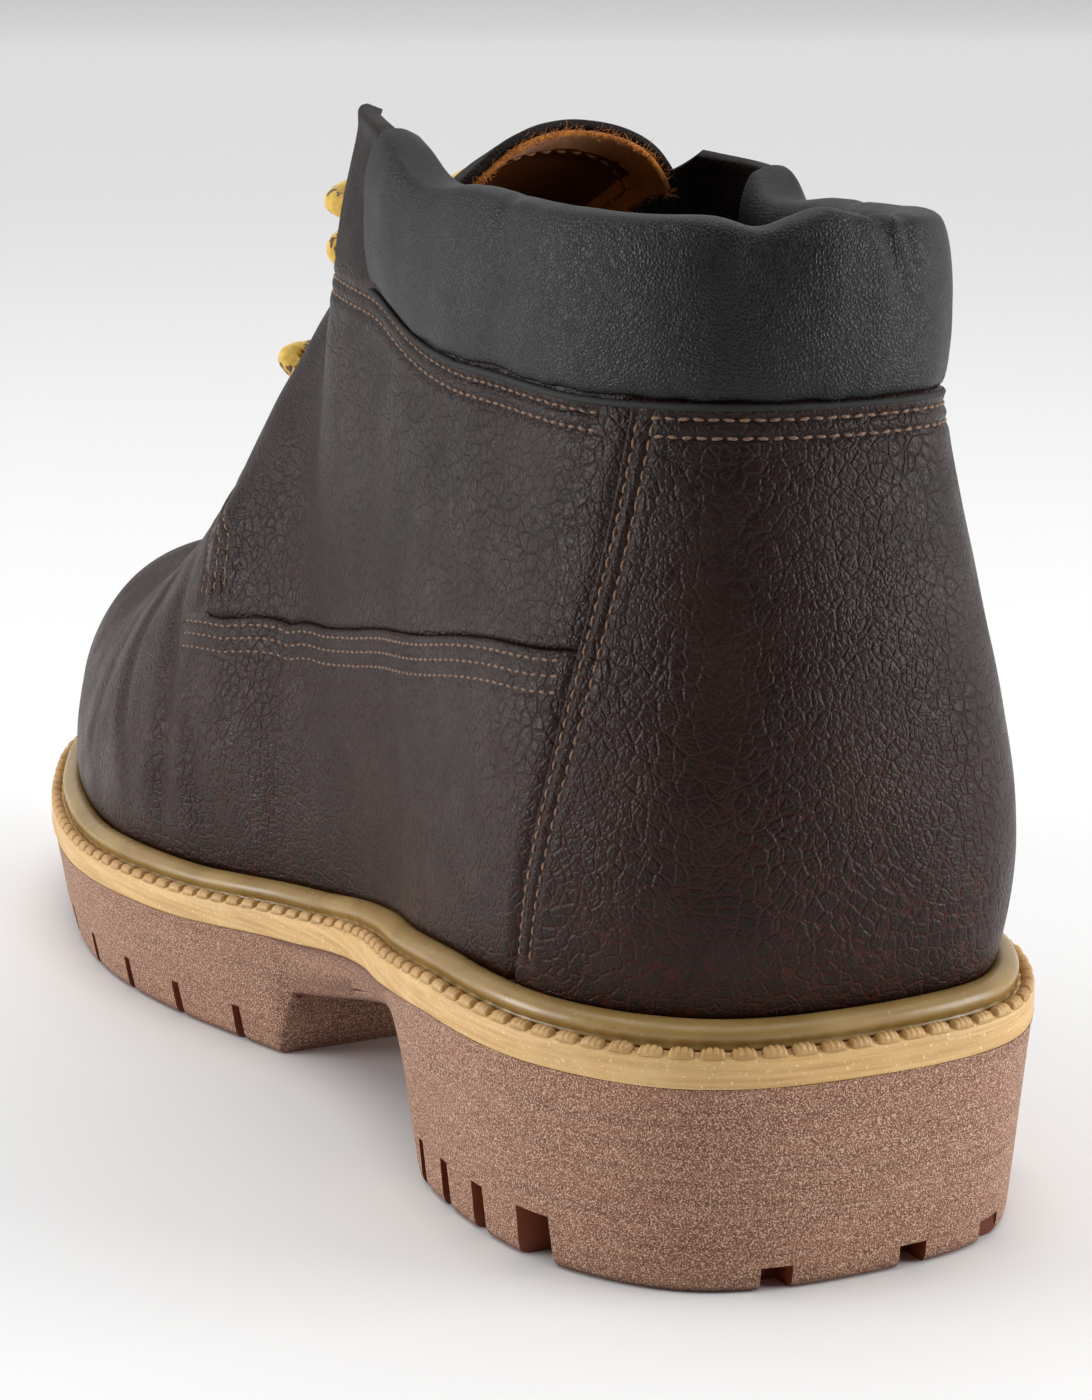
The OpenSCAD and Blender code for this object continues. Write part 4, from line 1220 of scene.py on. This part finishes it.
def tongue():
    outer, _ = tongue_layer("tongue_leather", 0.0, 1.75, 0, LEATHER_TONGUE,
        ("tongue_base", "tongue_flap"), "tongue")
    lining, inner = tongue_layer("tongue_lining_sheet", 1.85, LINING_FACE, LINING_INSET,
        [TONGUE_LINING, SUEDE_EDGE], ("tongue_lining",), "suede")
    top = np.concatenate([inner[40:, 0], inner[-1, :], inner[::-1, -1][:90]])
    paint_band(lining, top, EDGE_BAND * MM)
    seam = Stitches("stitches_tongue", THREAD_ORANGE, 2.2, 0.8, 0.28)
    up, across = np.linspace(0.45, 0.93, 200), np.linspace(-1, 1, 200)
    still = np.ones(200)
    around = np.concatenate([np.stack(side, 1) for side in ((up, -still), (0.93 * still, across),
        (up[::-1], still))])
    corner = 1 - 0.05 * abs(around[:, 1]) ** 3
    sb = around[:, 0] * np.where(around[:, 0] > 0.9, corner, 1)
    sa = -around[:, 1] * (tongue_half(sb) - LINING_INSET * 1.4 - math.degrees(SEAM_INSET / TONGUE_R))
    flat = tongue_point(sb, sa, np.zeros(sb.shape))
    line = tongue_point(sb, sa, LINING_FACE + softness(flat) + 0.08)
    deep = tongue_point(sb, sa, np.full(sb.shape, 6.0))
    seam.row(line, unit(deep - line))
    sewn = seam.finish(None)
    rng = np.random.default_rng(5)
    pick = rng.integers(0, len(top), FIBRES)
    up = unit(at(tongue_middle(np.array(1.0))) - at(tongue_middle(np.array(0.8))))
    fuzz = hairs("tongue_edge_fibres", top[pick] + rng.normal(0, 0.5, (FIBRES, 3)) * MM,
        unit(up + rng.normal(0, 0.6, (FIBRES, 3))), SUEDE_EDGE, 1.7, 0.1, None)
    for obj in (outer, lining, sewn, fuzz):
        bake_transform(obj)


tongue()
brown.finish()


# ---------------------------------------------------------------- sole
def outline(d, steps):
    """Outline of the foot of the upper moved outward by d mm, with each point's distance from the back."""
    q = np.concatenate([np.arange(KNOTS * steps + 1) / steps, np.arange(1, KNOTS * steps) / steps - KNOTS])
    k = abs(q)
    p = np.where((q < 0)[:, None], along(FOOT_L, k), along(FOOT_M, k))
    p = at(p * np.stack([np.where(q < 0, -1, 1), np.ones(len(q)), np.ones(len(q))], 1))[:, :2]
    t = unit(np.roll(p, -1, 0) - np.roll(p, 1, 0))
    p = p + d * MM * np.stack([-t[:, 1], t[:, 0]], 1)
    return p, BOOT_L / 2 - p[:, 1] / MM


def smooth_lookup(s, table, spread=3.0):
    """lookup() with its corners rounded."""
    return sum(lookup(s + o * spread, table) for o in (-1, -0.5, 0, 0.5, 1)) / 5


def rim_top(s):
    return smooth_lookup(s, RIM_Z)


def lofted(name, rows, materials, **more):
    """Closed body through rings of points. Its two ends are strips from side to side."""
    count = len(rows[0])
    points = np.concatenate(rows)
    faces = tube_faces(len(rows), count)[:-2]
    for first, flip in ((0, False), ((len(rows) - 1) * count, True)):
        for i in range(count // 2):
            ring = [i, i + 1, count - i - 1, (count - i) % count]
            ring = list(dict.fromkeys(first + n for n in ring))
            if len(ring) > 2:
                faces.append(ring[::-1] if flip else ring)
    return piece(name, points, faces, materials, **more)


def wall_rows(d, steps, low, high, profile):
    """Rings of a wall: profile is [inset in mm, share of the height, extra height in mm]."""
    rows = []
    for inset, share, extra in profile:
        p, s = outline(d - inset, steps)
        z = mix(low(s), high(s), share) + extra
        rows.append(np.column_stack([p, z * MM]))
    return rows


def wedge(x0, x1, y0, y1, z0, z1, taper=0.0):
    """Corner points and faces of a block whose top is narrower along y."""
    corners = [(x, y, z) for z, less in ((z0, 0), (z1, taper))
        for y in (y0 + less, y1 - less) for x in (x0, x1)]
    faces = [(0, 2, 3, 1), (4, 5, 7, 6), (0, 1, 5, 4), (2, 6, 7, 3), (0, 4, 6, 2), (1, 3, 7, 5)]
    return np.array(corners) * MM, faces


def y_of(s):
    return BOOT_L / 2 - s


# Index of the groove rubber among the outsole's materials
GROOVE_INDEX = 1


def cut(obj, blocks):
    points, faces = [], []
    for corners, block_faces in blocks:
        faces += [[len(points) + i for i in f] for f in block_faces]
        points += list(corners)
    mesh = bpy.data.meshes.new("cutter")
    mesh.from_pydata([tuple(p) for p in points], [], faces)
    cutter = place(bpy.data.objects.new("cutter", mesh))
    for m in (OUTSOLE, GROOVE):
        mesh.materials.append(m)
    mesh.polygons.foreach_set("material_index", [GROOVE_INDEX] * len(faces))
    work = obj.modifiers.new("cut", "BOOLEAN")
    work.operation, work.solver, work.object = "DIFFERENCE", "EXACT", cutter
    bpy.context.view_layer.update()
    shaped = bpy.data.meshes.new_from_object(obj.evaluated_get(bpy.context.evaluated_depsgraph_get()))
    obj.modifiers.clear()
    old = obj.data
    obj.data = shaped
    bpy.data.objects.remove(cutter)
    bpy.data.meshes.remove(old)


# Grooves across the tread: [distance from the back, width]
HEEL_GROOVES = [[32.3, 7.7], [46.5, 4.4], [58, 3.6], [68.3, 3]]
FORE_PITCH = 19
FORE_GROOVES = [[152.5 + FORE_PITCH * i, 3.2] for i in range(8)]
GROOVE_D = 7
NOTCH_X, NOTCH_W = (-26, -9.5, 14, 34), 5
CHANNEL_X, CHANNEL_W = 14, 4
GROOVE_OUT, GROOVE_IN = 77, 17


def outsole():
    profile = [(5, 0, 0), (4, 0, 0.3), (3.5, 0, 0.9), (3.2, 0, 2), (2.4, 0.3, 0), (1.5, 0.6, 0),
        (0.7, 0.85, 0), (0.25, 0.97, 0), (0, 1, 0)]
    rows = wall_rows(RIM_OUT - 0.1, 18, lambda s: smooth_lookup(s, TREAD_Z, 1.6),
        lambda s: rim_top(s) - RIM_T, profile)
    obj = lofted("outsole_body", rows, [OUTSOLE, GROOVE], slot="outsole")
    blocks = []
    for s, width in HEEL_GROOVES + FORE_GROOVES:
        top = GROOVE_D + 1.5 if s < 100 else lookup(s, TREAD_Z) + GROOVE_D
        for x0, x1 in ((GROOVE_IN, GROOVE_OUT), (-GROOVE_OUT, -GROOVE_IN)):
            blocks.append(wedge(x0, x1, y_of(s) - width / 2, y_of(s) + width / 2, -9, top, 0.5))
    for x in NOTCH_X:
        blocks.append(wedge(x - NOTCH_W / 2, x + NOTCH_W / 2, BOOT_L / 2 - 11, BOOT_L / 2 + 9, -5, 4))
    for x in (-CHANNEL_X, CHANNEL_X):
        for front, back, top in ((65, 15, GROOVE_D), (300, 144, GROOVE_D + 1)):
            blocks.append(wedge(x - CHANNEL_W / 2, x + CHANNEL_W / 2, y_of(front), y_of(back), -5, top))
    cut(obj, blocks)
    cut(obj, [wedge(-13, 13, y_of(s) - 1.75, y_of(s) + 1.75, -20, lookup(s, TREAD_Z) + GROOVE_D)
        for s in range(162, 277, FORE_PITCH)])
    for face in obj.data.polygons:
        if face.normal.z < -0.8:
            face.material_index = GROOVE_INDEX
        face.use_smooth = True
    obj.data.set_sharp_from_angle(angle=math.radians(32))
    bevel(obj, 0.45 * MM, 2, 38).harden_normals = False
    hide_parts("outsole")


def rim():
    profile = [(1.2, 0, 0), (0.15, 0, 0.1), (0, 0, 0.5), (0.1, 0.3, 0), (0, 0.6, 0), (0.05, 0.85, 0),
        (0.25, 1, -0.3), (0.8, 1, 0)]
    rows = wall_rows(RIM_OUT, 30, lambda s: rim_top(s) - RIM_T, rim_top, profile)
    wave = 0.12 * noise_at(rows[2], 60.0)[:, None] * MM
    for row in rows:
        row[:, :2] += wave * unit(row[:, :2] - row[:, :2].mean(0))
    obj = lofted("rim_body", rows, RIM, slot="rim")
    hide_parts("midsole")


BEAD = [(-0.7, 0.05), (3.2, 0.05), (3.9, 0.3), (3.75, 0.7), (3.5, 0.95), (3.85, 1.5), (4, 2.2), (3.8, 2.95),
    (3.2, 3.65), (2.3, 4.15), (1.3, 4.35), (0.3, 4.1), (-0.3, 3.5), (-0.7, 2.5)]
BUMP_AT, BUMP_L, BUMP_GAP, BUMP_W, BUMP_H, KNURLS = 5.3, 3.95, 0.65, 2.2, 1.6, 4


def welt():
    """Half-round bead with a fillet."""
    lines = []
    for d, z in BEAD:
        p, s = outline(d, 30)
        lines.append(np.column_stack([p, (rim_top(s) + z) * MM]))
    points = np.stack(lines, 1)
    count, sides = points.shape[:2]
    wave = 0.16 * noise_at(points, 55.0, 4.0)
    points[..., 2] += wave * MM * np.array([0 if z < 1 else 1 for _, z in BEAD])
    bead = piece("welt_bead", points.reshape(-1, 3), tube_faces(count, sides, True), WELT, slot="welt")
    subdivide(bead)
    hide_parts("welt")


def welt_bumps():
    """Row of knurled bumps on the rim's edge."""
    p, s = outline(BUMP_AT, 60)
    line = np.column_stack([p, rim_top(s) * MM])
    line = np.vstack([line, line[:1]])
    run = run_along(line) / MM
    pitch = run[-1] / round(run[-1] / (BUMP_L + BUMP_GAP))
    along_cells, across_cells = 20, 8
    points, faces = [], []
    rng = np.random.default_rng(3)
    for number in range(round(run[-1] / pitch)):
        middle = (number + 0.5) * pitch
        size = rng.uniform(0.93, 1.05)
        first = len(points)
        for i in range(along_cells + 1):
            u = i / along_cells * 2 - 1
            spot = sample(line, run, (middle + u * BUMP_L / 2) % run[-1])
            ahead = sample(line, run, (middle + u * BUMP_L / 2 + 0.3) % run[-1])
            t = unit(ahead - spot)
            side = np.array([-t[1], t[0], 0])
            crown = (1 - u**4) ** 0.5
            knurl = 0.80 + 0.20 * abs(math.cos(math.pi * KNURLS * (u + 1) / 2 + math.pi / 2))
            for j in range(across_cells + 1):
                w = math.pi * j / across_cells
                out = -math.cos(w) * BUMP_W / 2 * (0.55 + 0.45 * crown) * (0.93 + 0.07 * knurl)
                up = math.sin(w) ** 0.8 * BUMP_H * size * crown * knurl
                points.append(spot + (side * out + np.array([0, 0, up - 0.25])) * MM)
        stride = across_cells + 1
        for i in range(along_cells):
            for j in range(across_cells):
                a = first + i * stride + j
                faces.append([a, a + 1, a + stride + 1, a + stride])
            a, b = first + i * stride, first + (i + 1) * stride
            faces.append([a, b, b + across_cells, a + across_cells])
    piece("welt_bumps", points, faces, WELT_BUMPS, slot="welt")


def bump_rubber():
    s = Shader("bump_rubber", 0.45, Subsurface_Weight=0.15, Subsurface_Scale=0.002)
    base = s.blend(s.span(s.noise(110, 4), 0.3, 0.7), (0.44, 0.25, 0.08), (0.60, 0.385, 0.155))
    s.colour(s.blend(s.span(s.noise(1500, 2), 0.62, 0.74, 0, 0.6), base, (0.78, 0.62, 0.38)))
    s.bump(s.noise(1900, 3), 0.00006, 0.6)
    s.roughness(s.span(s.noise(160, 3), 0.3, 0.7, 0.4, 0.56))
    return s.mat


WELT_BUMPS = bump_rubber()
outsole()
rim()
welt()
welt_bumps()


# ---------------------------------------------------------------- CAD nodes that stay
def dress(node, material, soft=0.0):
    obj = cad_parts[node]
    if not obj.data.materials:
        obj.data.materials.append(material)
    for slot_ in obj.material_slots:
        slot_.material = material
    if soft:
        bevel(obj, soft, 2, 40)


for node, material in (("eyelets", BRASS), ("shank", STEEL), ("toe_cap", STEEL),
        ("toe_cap_edge", EDGE_RUBBER), ("heel_stiffener", STIFF), ("filler", CORK), ("insole_board", FIBRE)):
    dress(node, material)
dress("footbed_foam", FOAM, 0.8 * MM)
dress("footbed_cloth", FOOTBED, 0.3 * MM)

# ---------------------------------------------------------------- studio
DARK_SIDE = (0.43, 0.9, 0.0)
ROOM_LIGHT, DARK_LIGHT = 0.68, 0.04
FLOOR_GREY = 0.88
LAMP_AIM = Vector((0, 0, 0.07))
# Name, place, side in metres, power in watts
LAMPS = [("left", (1.35, -0.55, 0.3), 0.8, 15), ("right", (-0.95, 0.7, 0.3), 0.7, 10),
    ("top", (0.0, -0.3, 1.8), 1.6, 3)]
SKY_STRENGTH, SKY_DEGREES = 1.3, 70


def studio():
    floor = bpy.data.meshes.new("floor")
    far, near, wide, radius, height = 30.0, 8.0, 25.0, 4.0, 5.0
    path = [(near, 0.0), (radius - far, 0.0)]
    for i in range(1, 13):
        turn = math.pi / 2 * i / 12
        path.append((radius - far - radius * math.sin(turn), radius - radius * math.cos(turn)))
    path.append((-far, height))
    points = [(x, y, z) for y, z in path for x in (-wide, wide)]
    floor.from_pydata(points, [], [[2 * i, 2 * i + 1, 2 * i + 3, 2 * i + 2] for i in range(len(path) - 1)])
    floor.polygons.foreach_set("use_smooth", [True] * len(floor.polygons))
    place(bpy.data.objects.new("floor", floor))
    s = Shader("floor_paper", 0.9)
    s.bsdf.inputs["Base Color"].default_value = (FLOOR_GREY, FLOOR_GREY, FLOOR_GREY, 1)
    s.bsdf.inputs["Specular IOR Level"].default_value = 0.1
    floor.materials.append(s.mat)
    world = bpy.data.worlds.new("studio")
    bpy.context.scene.world = world
    world.use_nodes = True
    tree = world.node_tree
    back = tree.nodes["Background"]
    back.inputs["Color"].default_value = (1, 1, 1, 1)
    # White room that darkens towards one side
    direction = tree.nodes.new("ShaderNodeTexCoord").outputs["Generated"]
    facing = tree.nodes.new("ShaderNodeVectorMath")
    facing.operation = "DOT_PRODUCT"
    facing.inputs[1].default_value = DARK_SIDE
    level = tree.nodes.new("ShaderNodeMapRange")
    for key, value in (("From Min", -0.25), ("From Max", 0.6), ("To Min", ROOM_LIGHT),
            ("To Max", DARK_LIGHT)):
        level.inputs[key].default_value = value
    tree.links.new(direction, facing.inputs[0])
    tree.links.new(facing.outputs["Value"], level.inputs["Value"])
    tree.links.new(level.outputs[0], back.inputs["Strength"])
    for name, where, size, power in LAMPS:
        lamp = place(bpy.data.objects.new(name, bpy.data.lights.new(name, "AREA")))
        lamp.data.shape, lamp.data.size, lamp.data.energy = "SQUARE", size, power
        lamp.location = where
        lamp.rotation_euler = (LAMP_AIM - Vector(where)).to_track_quat("-Z", "Y").to_euler()
    sky = place(bpy.data.objects.new("sky", bpy.data.lights.new("sky", "SUN")))
    sky.data.energy, sky.data.angle = SKY_STRENGTH, math.radians(SKY_DEGREES)


studio()
bpy.context.view_layer.update()
